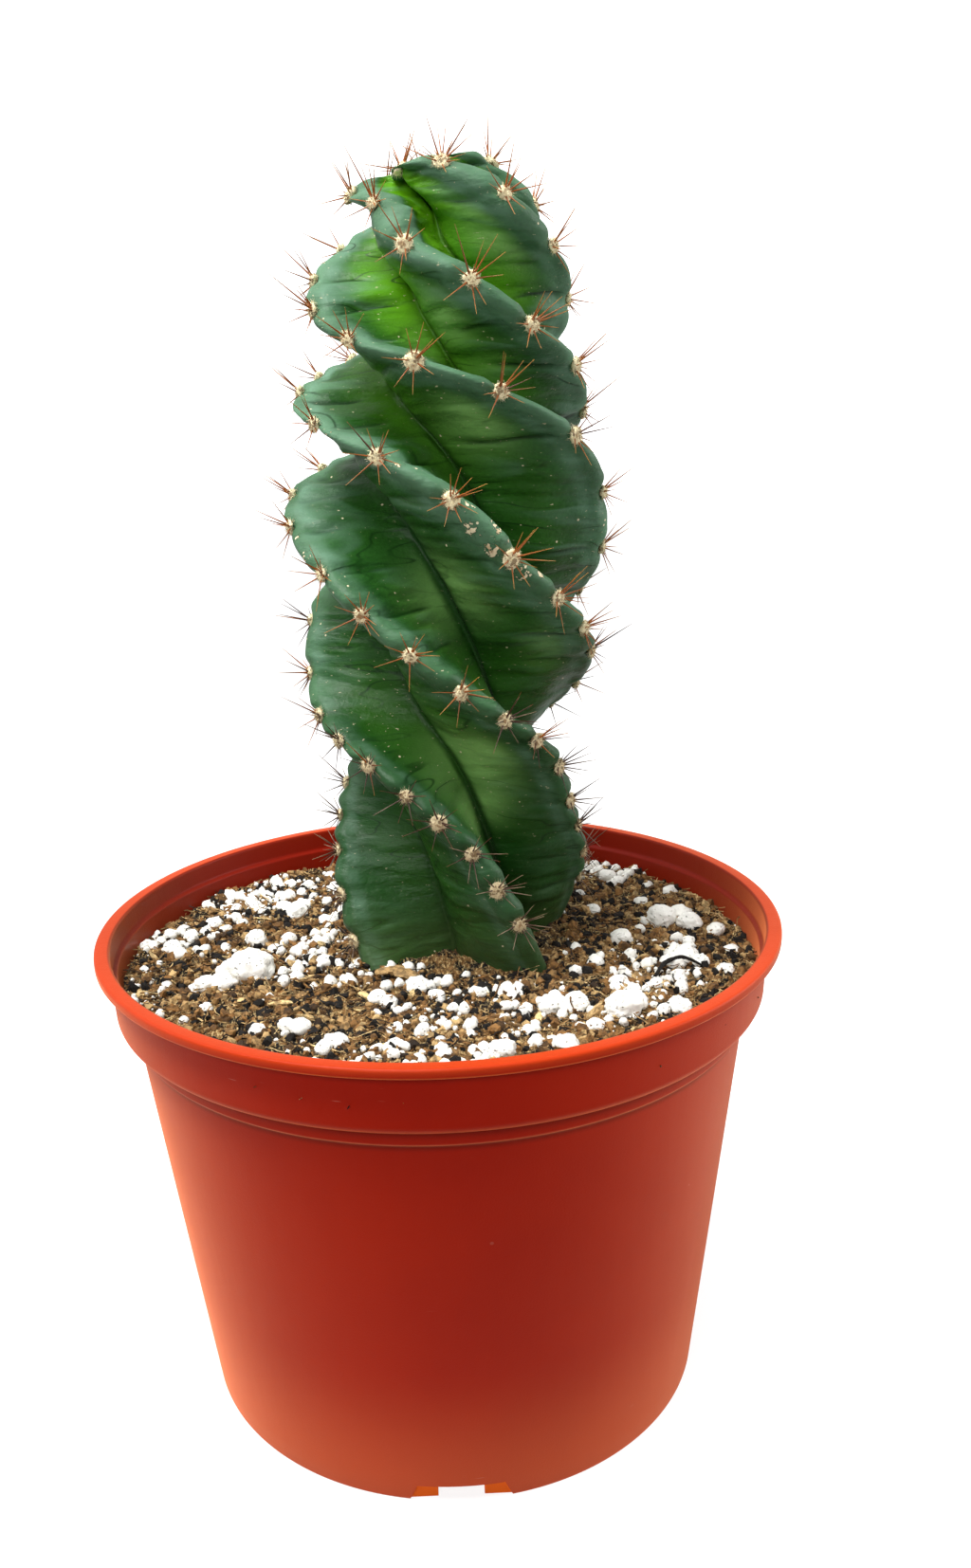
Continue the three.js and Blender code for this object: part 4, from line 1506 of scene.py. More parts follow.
@dataclass
class Areoles:
    """The woolly pads on the crests and the spines that stand in them."""

    form: StemForm
    pad_radius: float = 1.68
    pad_rise: float = 0.85
    hair_density: float = 6.0
    hair_length: float = 1.3
    hair_width: float = 0.055
    lift: float = 0.2
    longest: float = 10.4
    shortest: float = 3.2
    girth: float = 0.2
    seed: int = 23
    clear_of_soil: float = 107.0
    missing: float = 0.1
    grown_heights: tuple = (120.0, 215.0)
    # bearing in degrees from the way up the crest, rise above the skin, length as a share of the
    # longest when young and when old, thickness share
    pattern: tuple = (
        (44, 48, 1.0, 0.8, 1.15),
        (70, 38, 0.72, 0.68, 0.9),
        (98, 30, 0.76, 0.72, 1.0),
        (116, 44, 0.88, 0.82, 1.15),
        (138, 30, 0.78, 0.7, 1.0),
        (164, 26, 0.6, 0.62, 0.85),
        (200, 30, 0.56, 0.66, 0.9),
        (240, 26, 0.62, 0.64, 0.85),
        (298, 32, 0.74, 0.72, 0.95),
        (345, 32, 0.62, 0.62, 0.85),
    )

    def frames(self) -> list[tuple[np.ndarray, ...]]:
        """Where every areole that shows above the soil sits.

        Returns:
            Centre, facing, way up and way across of each.
        """
        frames = []
        for rib, places in enumerate(self.form.areoles):
            for place in places:
                seat = self.form.areole_frame(float(place), rib)
                if seat[0][2] > self.form.lowest_areole:
                    frames.append(seat)
        return frames

    def wool(self, finish: bpy.types.Material) -> bpy.types.Object:
        """Makes the pads and their felt.

        Args:
            finish: the wool's material.

        Returns:
            One mesh of all the pads.
        """
        draw = np.random.default_rng(self.seed)
        frames = self.frames()
        centres = np.array([centre + out * self.lift for centre, out, _, _ in frames])
        facing = np.array([out for _, out, _, _ in frames])
        sizes = self.pad_radius * draw.uniform(0.86, 1.14, len(frames))
        values = {"facing": facing, "girth": sizes * MM, "home": centres * MM}
        source = mesh_object("areole_seats", centres, (), values)
        rule = GeometryRule(
            "areole_felt",
            {
                "rise": self.pad_rise / self.pad_radius,
                "lumps": 1.3 * MM,
                "density": self.hair_density / MM**2,
                "hair length": self.hair_length * MM,
                "hair width": self.hair_width * MM,
                "seed": self.seed,
            },
        )
        ball = rule.add("GeometryNodeMeshIcoSphere", {}, {"Radius": 1.0, "Subdivisions": 3})
        girth = rule.stored("girth")
        scale = rule.triple(girth, girth, girth * rule.size("rise"))
        aim = rule.aimed(rule.stored("facing", "FLOAT_VECTOR"))
        pads = rule.placed(rule.source, ball, aim, scale)
        lumps = rule.scaled(rule.noise_at(900.0, 3.0), rule.size("lumps"))
        pads = rule.shifted(pads, lumps)
        points, up = rule.scattered(pads, rule.size("seed"))
        stray = rule.random_vector((-0.8, -0.8, -0.8), (0.8, 0.8, 0.8), 3)
        lean = rule.vector("ADD", up, stray)
        hair = {
            "Vertices": 3,
            "Radius Top": 0.0,
            "Radius Bottom": rule.size("hair width"),
            "Depth": rule.size("hair length"),
        }
        strand = rule.add("GeometryNodeMeshCone", {"fill_type": "NONE"}, hair)
        length = rule.random(0.35, 1.0, 5)
        hairs = rule.placed(points, strand, rule.aimed(lean), rule.triple(1.0, 1.0, length))
        both = rule.join(pads, hairs)
        place = rule.add("GeometryNodeInputPosition")
        home = rule.stored("home", "FLOAT_VECTOR")
        away = rule.vector("SUBTRACT", place, home)
        heart = 1.0 - rule.length(away) / rule.stored("girth")
        rule.finish(rule.keep(both, "heart", heart), finish)
        felt = rule.run(source, "areole_wool")
        bpy.data.objects.remove(source)
        return smooth_shaded(felt)

    def spines(self, finish: bpy.types.Material) -> bpy.types.Object:
        """Makes the spines of every areole.

        Args:
            finish: the spines' material.

        Returns:
            One mesh of all the spines.
        """
        roots, aims, reaches, girths, darks = self._needles()
        values = {"aim": aims, "reach": reaches * MM, "girth": girths * MM, "dark": darks}
        source = mesh_object("spine_roots", roots, (), values)
        rule = GeometryRule("spines", {"tip": 0.18, "collar": 0.8, "seed": self.seed})
        cone = {
            "Vertices": 6,
            "Side Segments": 8,
            "Radius Top": rule.size("tip"),
            "Radius Bottom": 1.0,
            "Depth": 1.0,
        }
        needle = rule.add("GeometryNodeMeshCone", {"fill_type": "NGON"}, cone)
        x, y, z = rule.parts(rule.add("GeometryNodeInputPosition"))
        swell = 1.0 + rule.size("collar") * z.rise(0.1, 0.0)
        shaped = rule.triple(x * swell, y * swell, z)
        needle = rule.add("GeometryNodeSetPosition", {}, {"Geometry": needle, "Position": shaped})
        needle = rule.keep(needle, "along", z)
        girth = rule.stored("girth")
        scale = rule.triple(girth, girth, rule.stored("reach"))
        spin = rule.random_vector((0.0, 0.0, 0.0), (0.0, 0.0, 6.28), rule.size("seed"))
        turn = rule.aimed(rule.stored("aim", "FLOAT_VECTOR"), spin)
        rule.finish(rule.placed(rule.source, needle, turn, scale), finish)
        made = rule.run(source, "areole_spines")
        bpy.data.objects.remove(source)
        return smooth_shaded(made, 60.0)

    def _needles(self) -> tuple[np.ndarray, ...]:
        """Root, direction, length, thickness and shade of every spine.

        Returns:
            An array for each of the five.
        """
        draw = np.random.default_rng(self.seed + 1)
        rows = []
        for centre, out, along, side in self.frames():
            age = float(smooth(*self.grown_heights, centre[2]))
            tint = draw.uniform(0.0, 1.0)
            for bearing, rise, share, old_share, thick in self.pattern:
                if draw.random() < self.missing:
                    continue
                reach = self.longest * (old_share + (share - old_share) * age)
                turn = math.radians(bearing + draw.uniform(-13.0, 13.0))
                tilt = math.radians(rise + draw.uniform(-9.0, 12.0))
                flat = along * math.cos(turn) - side * math.sin(turn)
                aim = flat * math.cos(tilt) + out * math.sin(tilt)
                length = max(self.shortest, reach * draw.uniform(0.75, 1.12))
                root = centre + flat * draw.uniform(0.2, 0.8) + out * 0.2
                tip = root + aim * length
                if tip[2] < self.clear_of_soil:
                    tip[2] = self.clear_of_soil
                    aim = unit(tip - root)
                dark = 0.82 - 0.67 * age + 0.35 * (tint - 0.5) + draw.uniform(-0.16, 0.16)
                rows.append((root, aim, length, self.girth * thick, dark))
        roots, aims, lengths, girths, darks = zip(*rows)
        return tuple(np.array(column) for column in (roots, aims, lengths, girths, darks))


# The soil and its perlite


@dataclass
class Ground:
    """The surface of the soil, by the same formula as the solid's, and what lies in it."""

    level: float = 106.0
    mound: float = 2.2
    mound_reach: float = 34.0
    coarse: float = 0.63
    fine: float = 0.45
    middle: tuple = (6.2, 5.0)
    rim: float = 74.2
    rings: int = 120
    segments: int = 300
    crumb: float = 1.0
    grit: float = 0.6
    clear_of_stem: tuple = (22.0, 26.0)
    crease: float = 75.0
    inner_wall: tuple = ((57.5, 5.6), (59.0, 7.0), (70.0, 95.0), (71.4, 99.6), (74.1, 102.0))

    def height(self, x: np.ndarray, y: np.ndarray) -> np.ndarray:
        """The soil's height at a place, without its crumbs."""
        away = np.hypot(x - self.middle[0], y - self.middle[1]) / self.mound_reach
        coarse = np.sin(x * 0.17 + 1.3 * np.sin(y * 0.11)) * np.cos(y * 0.15 - 0.7)
        fine = np.sin(x * 0.41 + y * 0.23) * np.sin(y * 0.37 - x * 0.19 + 2.0)
        rise = self.mound * np.exp(-away * away)
        return self.level + rise + self.coarse * coarse + self.fine * fine

    def crumbled(self, x: float, y: float, z: float) -> float:
        """Height of the surface with its crumbs, at one point."""
        spot = Vector((x, y, z))
        lumps = noise.fractal(spot * 0.35, 1.0, 2.1, 4)
        grit = noise.fractal(spot * 1.3, 0.8, 2.0, 3)
        return z + self.crumb * lumps + self.grit * grit

    def top(self) -> bpy.types.Object:
        """Only the surface, for the rules that scatter things on it.

        Returns:
            An open surface, which stores where it is free of the stem.
        """
        radii = self.rim * (np.linspace(0.0, 1.0, self.rings + 1)[:0:-1] ** 0.8)
        points = turned([(radius, 0.0) for radius in radii], self.segments)
        points[:, 2] = self.height(points[:, 0], points[:, 1])
        points[:, 2] = [self.crumbled(*point) for point in points]
        centre = len(points)
        points = np.concatenate([points, [[0.0, 0.0, self.level]]])
        inmost = fan(centre - self.segments, self.segments, centre)
        faces = [*grid_faces(self.rings, self.segments), *inmost]
        away = np.hypot(points[:, 0] - self.middle[0], points[:, 1] - self.middle[1])
        values = {"free": smooth(*self.clear_of_stem, away)}
        return mesh_object("soil_top", points, faces, values)

    def body(self) -> bpy.types.Object:
        """The soil as a closed body: its surface, and plain sides inside the pot.

        Returns:
            The closed body.
        """
        surface = self.top()
        top = np.empty(len(surface.data.vertices) * 3)
        surface.data.vertices.foreach_get("co", top)
        top = top.reshape(-1, 3) / MM
        bottom = (0.0, 0.0, self.inner_wall[0][1])
        sides = turned(self.inner_wall, self.segments)
        points = np.concatenate([sides, top[:-1], [bottom, top[-1]]])
        faces = tube_faces(len(self.inner_wall) + self.rings, self.segments)
        bpy.data.objects.remove(surface)
        return smooth_shaded(mesh_object("soil_bed", points, faces), self.crease)


@dataclass(frozen=True)
class BitKind:
    """A kind of loose bit: how many, how large in millimetres, how uneven, and how it lies.

    Of its shapes each bit is one, at a radius between smallest and largest, where a higher
    rarity leaves fewer large ones. Its width and height are shares of its length. The clump is
    the noise between which drifts of it fill up, and the tilt is how far it leans, in radians.
    """

    name: str
    seed: int
    density: float
    smallest: float
    largest: float
    clump: tuple[float, float]
    subdivisions: int
    shapes: int
    pick_seed: int
    uneven: float
    width: tuple[float, float]
    flat: float
    rarity: float = 2.6
    tilt: tuple[float, float] = (0.0, 6.28)
    shades: tuple[float, float] | None = None
    lift: float = 0.0
    smooth: bool = False


CRUMB = BitKind(
    name="peat_crumbs",
    seed=31,
    density=0.5,
    smallest=0.28,
    largest=1.7,
    clump=(-0.1, 0.3),
    subdivisions=1,
    shapes=5,
    pick_seed=9,
    uneven=1.9,
    width=(0.7, 1.0),
    flat=0.8,
    shades=(0.0, 0.8),
)
BARK_CHIP = BitKind(
    name="bark_chips",
    seed=51,
    density=0.022,
    smallest=0.8,
    largest=3.4,
    clump=(0.2, 0.6),
    subdivisions=2,
    shapes=3,
    pick_seed=5,
    uneven=1.3,
    width=(0.4, 0.4),
    flat=0.2,
    rarity=2.0,
    tilt=(-0.5, 0.5),
    shades=(0.25, 1.0),
)
PERLITE_GRAIN = BitKind(
    name="perlite_grains",
    seed=91,
    density=0.43,
    smallest=0.24,
    largest=2.0,
    clump=(0.37, 0.85),
    subdivisions=2,
    shapes=4,
    pick_seed=2,
    uneven=0.9,
    width=(0.7, 1.0),
    flat=0.85,
    lift=0.4,
    smooth=True,
)


@dataclass
class Scatter:
    """Loose bits on the soil: crumbs, chips, fibres and fine perlite."""

    top: bpy.types.Object
    fibre_seed: int = 71
    fibre_density: float = 0.24
    longest_fibre: float = 9.0
    fibre_thickness: float = 0.13
    drift_scale: float = 42.0

    def _points(self, rule: GeometryRule, seed: int, clump: tuple[float, float]) -> Wire:
        """Points on the free surface, denser in drifts.

        Args:
            rule: the tree that they are made in.
            seed: the draw's seed.
            clump: noise values between which the drifts fill up.

        Returns:
            The points.
        """
        feeds = {"Scale": self.drift_scale, "Detail": 2.0}
        drift = rule.add("ShaderNodeTexNoise", {}, feeds, "Fac")
        share = rule.stored("free") * drift.rise(*clump)
        points, _ = rule.scattered(rule.source, seed)
        drawn = rule.random(0.0, 1.0, seed + 1)
        settings = {"operation": "GREATER_THAN"}
        bare = rule.add("FunctionNodeCompare", settings, {0: drawn, 1: share})
        feeds = {"Geometry": points, "Selection": bare}
        return rule.add("GeometryNodeDeleteGeometry", {"domain": "POINT"}, feeds)

    @staticmethod
    def _shapes(rule: GeometryRule, kind: BitKind) -> Wire:
        """Several uneven balls of radius 1 to pick from.

        Args:
            rule: the tree that they are made in.
            kind: how many they are, and how uneven.

        Returns:
            An instance of each.
        """
        shapes = []
        for index in range(kind.shapes):
            feeds = {"Radius": 1.0, "Subdivisions": kind.subdivisions}
            ball = rule.add("GeometryNodeMeshIcoSphere", {}, feeds)
            uneven = rule.scaled(rule.noise_at(1.1, 2.0, 7.3 * index + 1.0), kind.uneven)
            ball = rule.shifted(ball, uneven)
            shapes.append(rule.add("GeometryNodeGeometryToInstance", {}, {0: ball}))
        return rule.join(*shapes)

    def bits(self, kind: BitKind, finish: bpy.types.Material) -> bpy.types.Object:
        """Makes all bits of one kind.

        Args:
            kind: what they are.
            finish: their material.

        Returns:
            One mesh of them.
        """
        sizes = {
            "density": kind.density / MM**2,
            "smallest": kind.smallest * MM,
            "largest": kind.largest * MM,
        }
        rule = GeometryRule(kind.name, sizes)
        points = self._points(rule, kind.seed, kind.clump)
        if kind.shades:
            points = rule.keep(points, "shade", rule.random(*kind.shades, kind.seed + 6))
        low, high = kind.tilt
        turn = rule.random_vector((low, low, 0.0), (high, high, 6.28), kind.seed + 4)
        drawn = rule.random(0.0, 1.0, kind.seed + 2) ** kind.rarity
        span = rule.size("largest") - rule.size("smallest")
        size = rule.size("smallest") + drawn * span
        width = size * rule.random(*kind.width, kind.seed + 3)
        scale = rule.triple(size, width, size * kind.flat)
        pick = rule.picked(kind.shapes, kind.pick_seed)
        bits = rule.placed(points, self._shapes(rule, kind), turn, scale, pick)
        rule.finish(rule.shifted(bits, (0.0, 0.0, kind.lift * MM)), finish)
        made = rule.run(self.top, kind.name)
        return smooth_shaded(made) if kind.smooth else made

    def fibres(self, finish: bpy.types.Material) -> bpy.types.Object:
        """Bent fibres of 1.5 to 9 mm that lie over the crumbs.

        Args:
            finish: their material.

        Returns:
            One mesh of them.
        """
        sizes = {
            "density": self.fibre_density / MM**2,
            "longest": self.longest_fibre * MM,
            "thick": self.fibre_thickness * MM,
        }
        seed = self.fibre_seed
        rule = GeometryRule("peat_fibres", sizes)
        points = self._points(rule, seed, (0.0, 0.5))
        feeds = {"Vertices": 3, "Side Segments": 6, "Radius": 1.0, "Depth": 1.0}
        rod = rule.add("GeometryNodeMeshCylinder", {"fill_type": "NGON"}, feeds)
        points = rule.keep(points, "shade", rule.random(0.15, 1.0, seed + 6))
        level = rule.random_vector((-1.0, -1.0, -0.16), (1.0, 1.0, 0.3), seed + 2)
        reach = rule.size("longest") * (0.16 + 0.84 * rule.random(0.0, 1.0, seed + 3) ** 2.6)
        thick = rule.size("thick") * rule.random(0.6, 1.5, seed + 4)
        strands = rule.placed(points, rod, rule.aimed(level), rule.triple(thick, thick, reach))
        bends = rule.scaled(rule.noise_at(210.0, 2.0, 3.0), 5.0 * MM)
        bends = rule.vector("MULTIPLY", bends, (1.0, 1.0, 0.3))
        strands = rule.shifted(strands, rule.vector("ADD", bends, (0.0, 0.0, 0.35 * MM)))
        rule.finish(strands, finish)
        return rule.run(self.top, "peat_fibres")


@dataclass
class Litter:
    """The sliver of wood at the stem's foot and the dark twig at the right."""

    sliver: tuple = ((-14.6, -16.4, 108.6), (-9.5, -19.0, 109.4), (-4.8, -21.6, 108.7))
    sliver_half: tuple = (2.0, 0.8)
    twig: tuple = (
        (46.6, -25.2, 106.2),
        (49.0, -22.4, 107.8),
        (51.4, -18.0, 108.2),
        (56.0, -15.6, 108.4),
        (60.6, -17.4, 106.6),
    )
    twig_half: tuple = (0.5, 0.5)
    around: int = 10
    steps: int = 36

    def rod(
        self, name: str, line: tuple, half: tuple[float, float], shade: float, rough: float
    ) -> bpy.types.Object:
        """Sweeps a flat or round section along a bent line, pointed at both ends.

        Args:
            name: the piece's name.
            line: the points that the middle runs through, in millimetres.
            half: half the section's width and half its height.
            shade: the finish's shade, 0 dark to 1 straw.
            rough: how uneven the section is, as a share of its size.

        Returns:
            The closed rod.
        """
        marks = np.array(line)
        along = np.linspace(0, len(marks) - 1, self.steps)
        middle = through(marks, along)
        forward = unit(np.gradient(middle, axis=0))
        aside = unit(np.cross(forward, [0.0, 0.0, 1.0]))
        over = np.cross(aside, forward)
        taper = np.sqrt(np.clip(np.sin(np.linspace(0.06, math.pi - 0.06, self.steps)), 0, 1))
        turns = np.linspace(0.0, FULL_TURN, self.around, endpoint=False)
        points = []
        for step in range(self.steps):
            wide, high = aside[step] * half[0], over[step] * half[1]
            for turn in turns:
                flat = wide * math.cos(turn) + high * math.sin(turn)
                bump = 1.0 + rough * noise.noise(Vector((middle[step] + flat * 2.0) * 0.8))
                points.append(middle[step] + flat * taper[step] * bump)
        points = np.array([*points, middle[0], middle[-1]])
        values = {"shade": np.full(len(points), shade)}
        return mesh_object(name, points, tube_faces(self.steps, self.around), values)

    def build(self, finish: bpy.types.Material) -> list[bpy.types.Object]:
        """Makes the sliver and the twig.

        Args:
            finish: their material.

        Returns:
            The two pieces.
        """
        sliver = self.rod("wood_sliver", self.sliver, self.sliver_half, 0.72, 0.7)
        twig = self.rod("dark_twig", self.twig, self.twig_half, 0.0, 0.4)
        for piece in (sliver, twig):
            piece.data.materials.append(finish)
            smooth_shaded(piece, 50.0)
        return [sliver, twig]


@dataclass
class PerliteLumps:
    """The larger perlite: one piece for each drift of the solids, and the lumps between them.

    A drift starts with a lump at (x, y, width); each next lump (direction in degrees, width)
    touches the one before it.
    """

    ground: Ground
    drifts: tuple = (
        ((-44, -11, 13), ((215, 7.5), (180, 6))),
        ((-45, 10, 6.5), ()),
        ((-37, 29, 7.5), ((140, 5.5),)),
        ((-65, 6, 6), ((300, 5),)),
        ((-22, -48, 6), ((225, 4.6),)),
        ((-14, -28, 5), ((320, 4),)),
        ((-30, -41, 5.5), ((160, 4.4),)),
        ((12, -55, 6.4), ()),
        ((25, -54, 6), ()),
        ((24, -34, 7.5), ((350, 7.5),)),
        ((39, -39, 9.5), ((48, 5.4),)),
        ((51, -38, 6.4), ()),
        ((54, -14, 7), ((40, 7.5), (310, 5))),
        ((44, -1, 6), ()),
        ((56, 13, 9), ((18, 7), (290, 7))),
        ((47, 45, 5.6), ((315, 4.6),)),
    )
    loose: tuple = (
        (-44, 52, 4.7), (-40, 4, 3.9), (-56, -15, 4.6), (-63, -14, 3.1), (-70, -5, 2.7),
        (-33, -16, 4.3), (-27, -6, 5), (-28, 12, 3.3), (-5, -23.5, 6.4), (-10, -42, 4.4),
        (-39, -41, 4.4), (-26, -55, 3.8), (-18, -58, 3.4), (-56, -33, 2.5), (-41, -51, 3.9),
        (62, 33, 4.5), (57, 39, 3.6), (69, -8, 4.6), (65, -20, 5), (36, -14, 4.8),
        (39, -27, 4.2), (32, -45, 4.6), (31, -20, 3.9), (8, -28, 4.6), (6, -46, 2.8),
        (14, -35, 3.7), (53, 25, 4.4), (40, 21, 4.9), (60, -1, 4.2), (68, 5, 5.6),
        (0, -52, 3.4), (18, -45, 3.2), (-50, 22, 3.6), (-58, 24, 4.4), (-52, -27, 3.8),
        (30, 50, 4.6), (14, 56, 5.2), (-8, 50, 4.2), (-24, 44, 5.4), (2, 62, 4.4),
        (-30, 60, 4.2), (38, 34, 3.8), (-16, 62, 3.6), (22, 38, 3.4), (-6, 38, 3.2),
    )
    step: float = 0.33
    lift: float = 0.12
    flat: float = 0.76
    fine_from: float = 5.8
    loose_seed: int = 40
    loose_sink: float = 0.06

    def lumps_of(self, start: tuple, following: tuple) -> list[tuple[float, float, float]]:
        """The lumps of one drift as (x, y, width).

        Args:
            start: the first lump.
            following: direction and width of each that follows.

        Returns:
            The lumps, the first one first.
        """
        lumps = [tuple(float(part) for part in start)]
        for direction, width in following:
            x, y, before = lumps[-1]
            away = self.step * (before + width)
            turn = math.radians(direction)
            lumps.append((x + away * math.cos(turn), y + away * math.sin(turn), float(width)))
        return lumps

    def piece(
        self, name: str, lumps: Sequence[tuple[float, float, float]], seed: int, sink: float = 0.0
    ) -> bpy.types.Object:
        """Lumps with the blistered surface of expanded stone.

        Args:
            name: the piece's name.
            lumps: (x, y, width) of each.
            seed: where their unevenness is drawn.
            sink: how much lower they lie, as a share of their width.

        Returns:
            One mesh of the lumps.
        """
        mesh = bpy.data.meshes.new(name)
        shape = bmesh.new()
        for index, (x, y, width) in enumerate(lumps):
            level = 4 if width > self.fine_from else 3
            made = bmesh.ops.create_icosphere(shape, subdivisions=level, radius=1.0)
            offset = Vector((seed * 3.1 + index * 5.7, index * 2.3, seed * 1.7))
            turn = Matrix.Rotation(seed * 1.3 + index, 3, "Z")
            height = float(self.ground.height(np.array(x), np.array(y)))
            centre = Vector((x, y, height + (self.lift - sink) * width))
            for vertex in made["verts"]:
                spot = vertex.co.copy()
                blister = noise.voronoi(spot * 2.1 + offset)[0][0]
                small = noise.voronoi(spot * 4.6 + offset)[0][0]
                uneven = noise.noise(spot * 1.1 + offset)
                radius = 0.88 + 0.2 * uneven + 0.2 * (0.5 - blister) + 0.09 * (0.5 - small)
                spot = turn @ (spot * radius)
                spot.z *= self.flat
                vertex.co = (centre + spot * (width / 2)) * MM
        shape.to_mesh(mesh)
        shape.free()
        return smooth_shaded(link_object(name, mesh))

    def build(self, finish: bpy.types.Material) -> None:
        """Makes each drift in place of its solid, and the loose lumps as one piece."""
        for index, (start, following) in enumerate(self.drifts):
            node = f"perlite_{index + 1:02d}"
            piece = self.piece(f"{node}_lump", self.lumps_of(start, following), index + 1)
            hand_over(piece, finish, [node])
        loose = self.piece("perlite_loose", self.loose, self.loose_seed, self.loose_sink)
        hand_over(loose, finish)


# The pot


# The faces of a box by its corners: four round its bottom, and the four above them
BOX_FACES = ((3, 2, 1, 0), (4, 5, 6, 7), (0, 1, 5, 4), (1, 2, 6, 5), (2, 3, 7, 6), (3, 0, 4, 7))


@dataclass
class NurseryPot:
    """The moulded pot, turned from the same sizes as the solid with its edges rounded."""

    height: float = 116.0
    rim: float = 80.0
    rim_inner: float = 76.5
    lip_depth: float = 2.2
    collar_top: float = 77.0
    collar_foot: float = 76.4
    collar_drop: float = 15.9
    belt: float = 73.4
    belt_drop: float = 20.4
    wall_top: float = 72.1
    foot: float = 61.4
    foot_inner: float = 57.9
    foot_height: float = 3.4
    wall: float = 1.5
    floor: float = 1.6
    ledge_drop: float = 5.5
    sides: int = 256
    notch_widths: tuple = (23.0, 19.5)
    notch_recess: float = 1.8
    gap_width: float = 10.3
    gap_height: float = 4.4
    gap_depth: float = 16.0
    slot_inner: float = 49.0
    notches: int = 4
    crease: float = 32.0

    def profile(self) -> list[tuple[float, float, float]]:
        """The section as (radius, height, rounding), from the underside round to the floor.

        Returns:
            The corners, in order.
        """
        top = self.height
        collar, belt = top - self.collar_drop, top - self.belt_drop
        floor = self.foot_height + self.floor
        slope = (self.wall_top - self.foot) / belt

        def inner(height: float) -> float:
            """The wall's inner radius at a height."""
            return self.foot + slope * height - self.wall

        return [
            (0.0, self.foot_height, 0.0),
            (self.foot_inner, self.foot_height, 0.6),
            (self.foot_inner, 0.0, 0.4),
            (self.foot, 0.0, 0.6),
            (self.foot + slope * 7.0, 7.0, 0.4),
            (self.foot + slope * 9.0, 9.0, 0.4),
            (self.wall_top, belt, 0.5),
            (self.belt - 0.3, belt + 0.8, 0.4),
            (self.belt, collar, 0.3),
            (self.collar_foot - 1.1, collar, 0.3),
            (self.collar_foot, collar + 1.2, 0.8),
            (self.collar_top, top - self.lip_depth, 0.4),
            (self.rim, top - self.lip_depth, 0.6),
            (self.rim, top, 0.75),
            (self.rim_inner, top, 0.7),
            (self.rim_inner - 0.3, top - self.ledge_drop + 0.6, 0.5),
            (self.collar_top - self.wall - 0.3, top - self.ledge_drop, 0.3),
            (self.collar_foot - self.wall - 0.2, collar + 1.6, 0.5),
            (self.belt - self.wall, collar - 0.6, 0.5),
            (inner(belt), belt, 0.5),
            (inner(floor), floor, 1.6),
            (0.0, floor, 0.0),
        ]

    @staticmethod
    def rounded(corners: list[tuple[float, float, float]], steps: int = 4) -> np.ndarray:
        """The section's points with an arc at each corner.

        Args:
            corners: (radius, height, rounding) of each corner.
            steps: how many pieces an arc has.

        Returns:
            (n, 2) radii and heights.
        """
        places = np.array([corner[:2] for corner in corners], float)
        points = [places[0]]
        for index in range(1, len(corners) - 1):
            before, here, after = places[index - 1 : index + 2]
            back, forth = before - here, after - here
            reach = min(
                corners[index][2], 0.45 * np.linalg.norm(back), 0.45 * np.linalg.norm(forth)
            )
            start, end = here + unit(back) * reach, here + unit(forth) * reach
            for t in np.linspace(0.0, 1.0, steps + 1):
                points.append((1 - t) ** 2 * start + 2 * t * (1 - t) * here + t * t * end)
        points.append(places[-1])
        return np.array(points)

    def shell(self) -> bpy.types.Object:
        """The pot before its notches are cut."""
        section = self.rounded(self.profile())
        poles = [(0.0, 0.0, section[0][1]), (0.0, 0.0, section[-1][1])]
        points = np.concatenate([turned(section[1:-1], self.sides), poles])
        return mesh_object("pot_shell", points, tube_faces(len(section) - 2, self.sides))

    def cutters(self) -> bpy.types.Object:
        """The notches as one set of blocks: a recess, a gap and a slot in each place.

        Returns:
            One mesh of all blocks.
        """
        below, above = (width / 2 for width in self.notch_widths)
        flare = (below - above) / self.gap_height
        near, far = self.foot - self.notch_recess, self.foot + 4.0
        gap = self.gap_width / 2
        ring_near = self.foot - self.gap_depth / 2
        blocks = (
            (below + flare, above, near, far, -1.0, self.gap_height),
            (gap, gap, ring_near, far, -1.0, self.gap_height - 0.01),
            (gap, gap, self.slot_inner, self.foot_inner, self.foot_height - 2.0, 6.2),
        )
        points: list[tuple[float, float, float]] = []
        faces: list[Sequence[int]] = []
        for notch in range(self.notches):
            turn = FULL_TURN * notch / self.notches
            for low_half, high_half, inner, outer, bottom, top in blocks:
                start = len(points)
                for height, half in ((bottom, low_half), (top, high_half)):
                    corners = ((-half, inner), (-half, outer), (half, outer), (half, inner))
                    for side, out in corners:
                        x = side * math.cos(turn) + out * math.sin(turn)
                        y = side * math.sin(turn) - out * math.cos(turn)
                        points.append((x, y, height))
                faces.extend(tuple(start + corner for corner in quad) for quad in BOX_FACES)
        cutter = mesh_object("notch_cutters", np.array(points), faces)
        shape = bmesh.new()
        shape.from_mesh(cutter.data)
        bmesh.ops.recalc_face_normals(shape, faces=shape.faces)
        shape.to_mesh(cutter.data)
        shape.free()
        return cutter

    def build(self) -> bpy.types.Object:
        """Cuts the notches into the shell and shades it.

        Returns:
            The finished pot.
        """
        shell, cutter = self.shell(), self.cutters()
        modifier = shell.modifiers.new("notches", "BOOLEAN")
        modifier.operation = "DIFFERENCE"
        modifier.solver = "EXACT"
        modifier.use_self = True
        modifier.object = cutter
        graph = bpy.context.evaluated_depsgraph_get()
        mesh = bpy.data.meshes.new_from_object(shell.evaluated_get(graph), depsgraph=graph)
        shell.modifiers.clear()
        shell.data = mesh
        bpy.data.objects.remove(cutter)
        return smooth_shaded(shell, self.crease)


# The studio


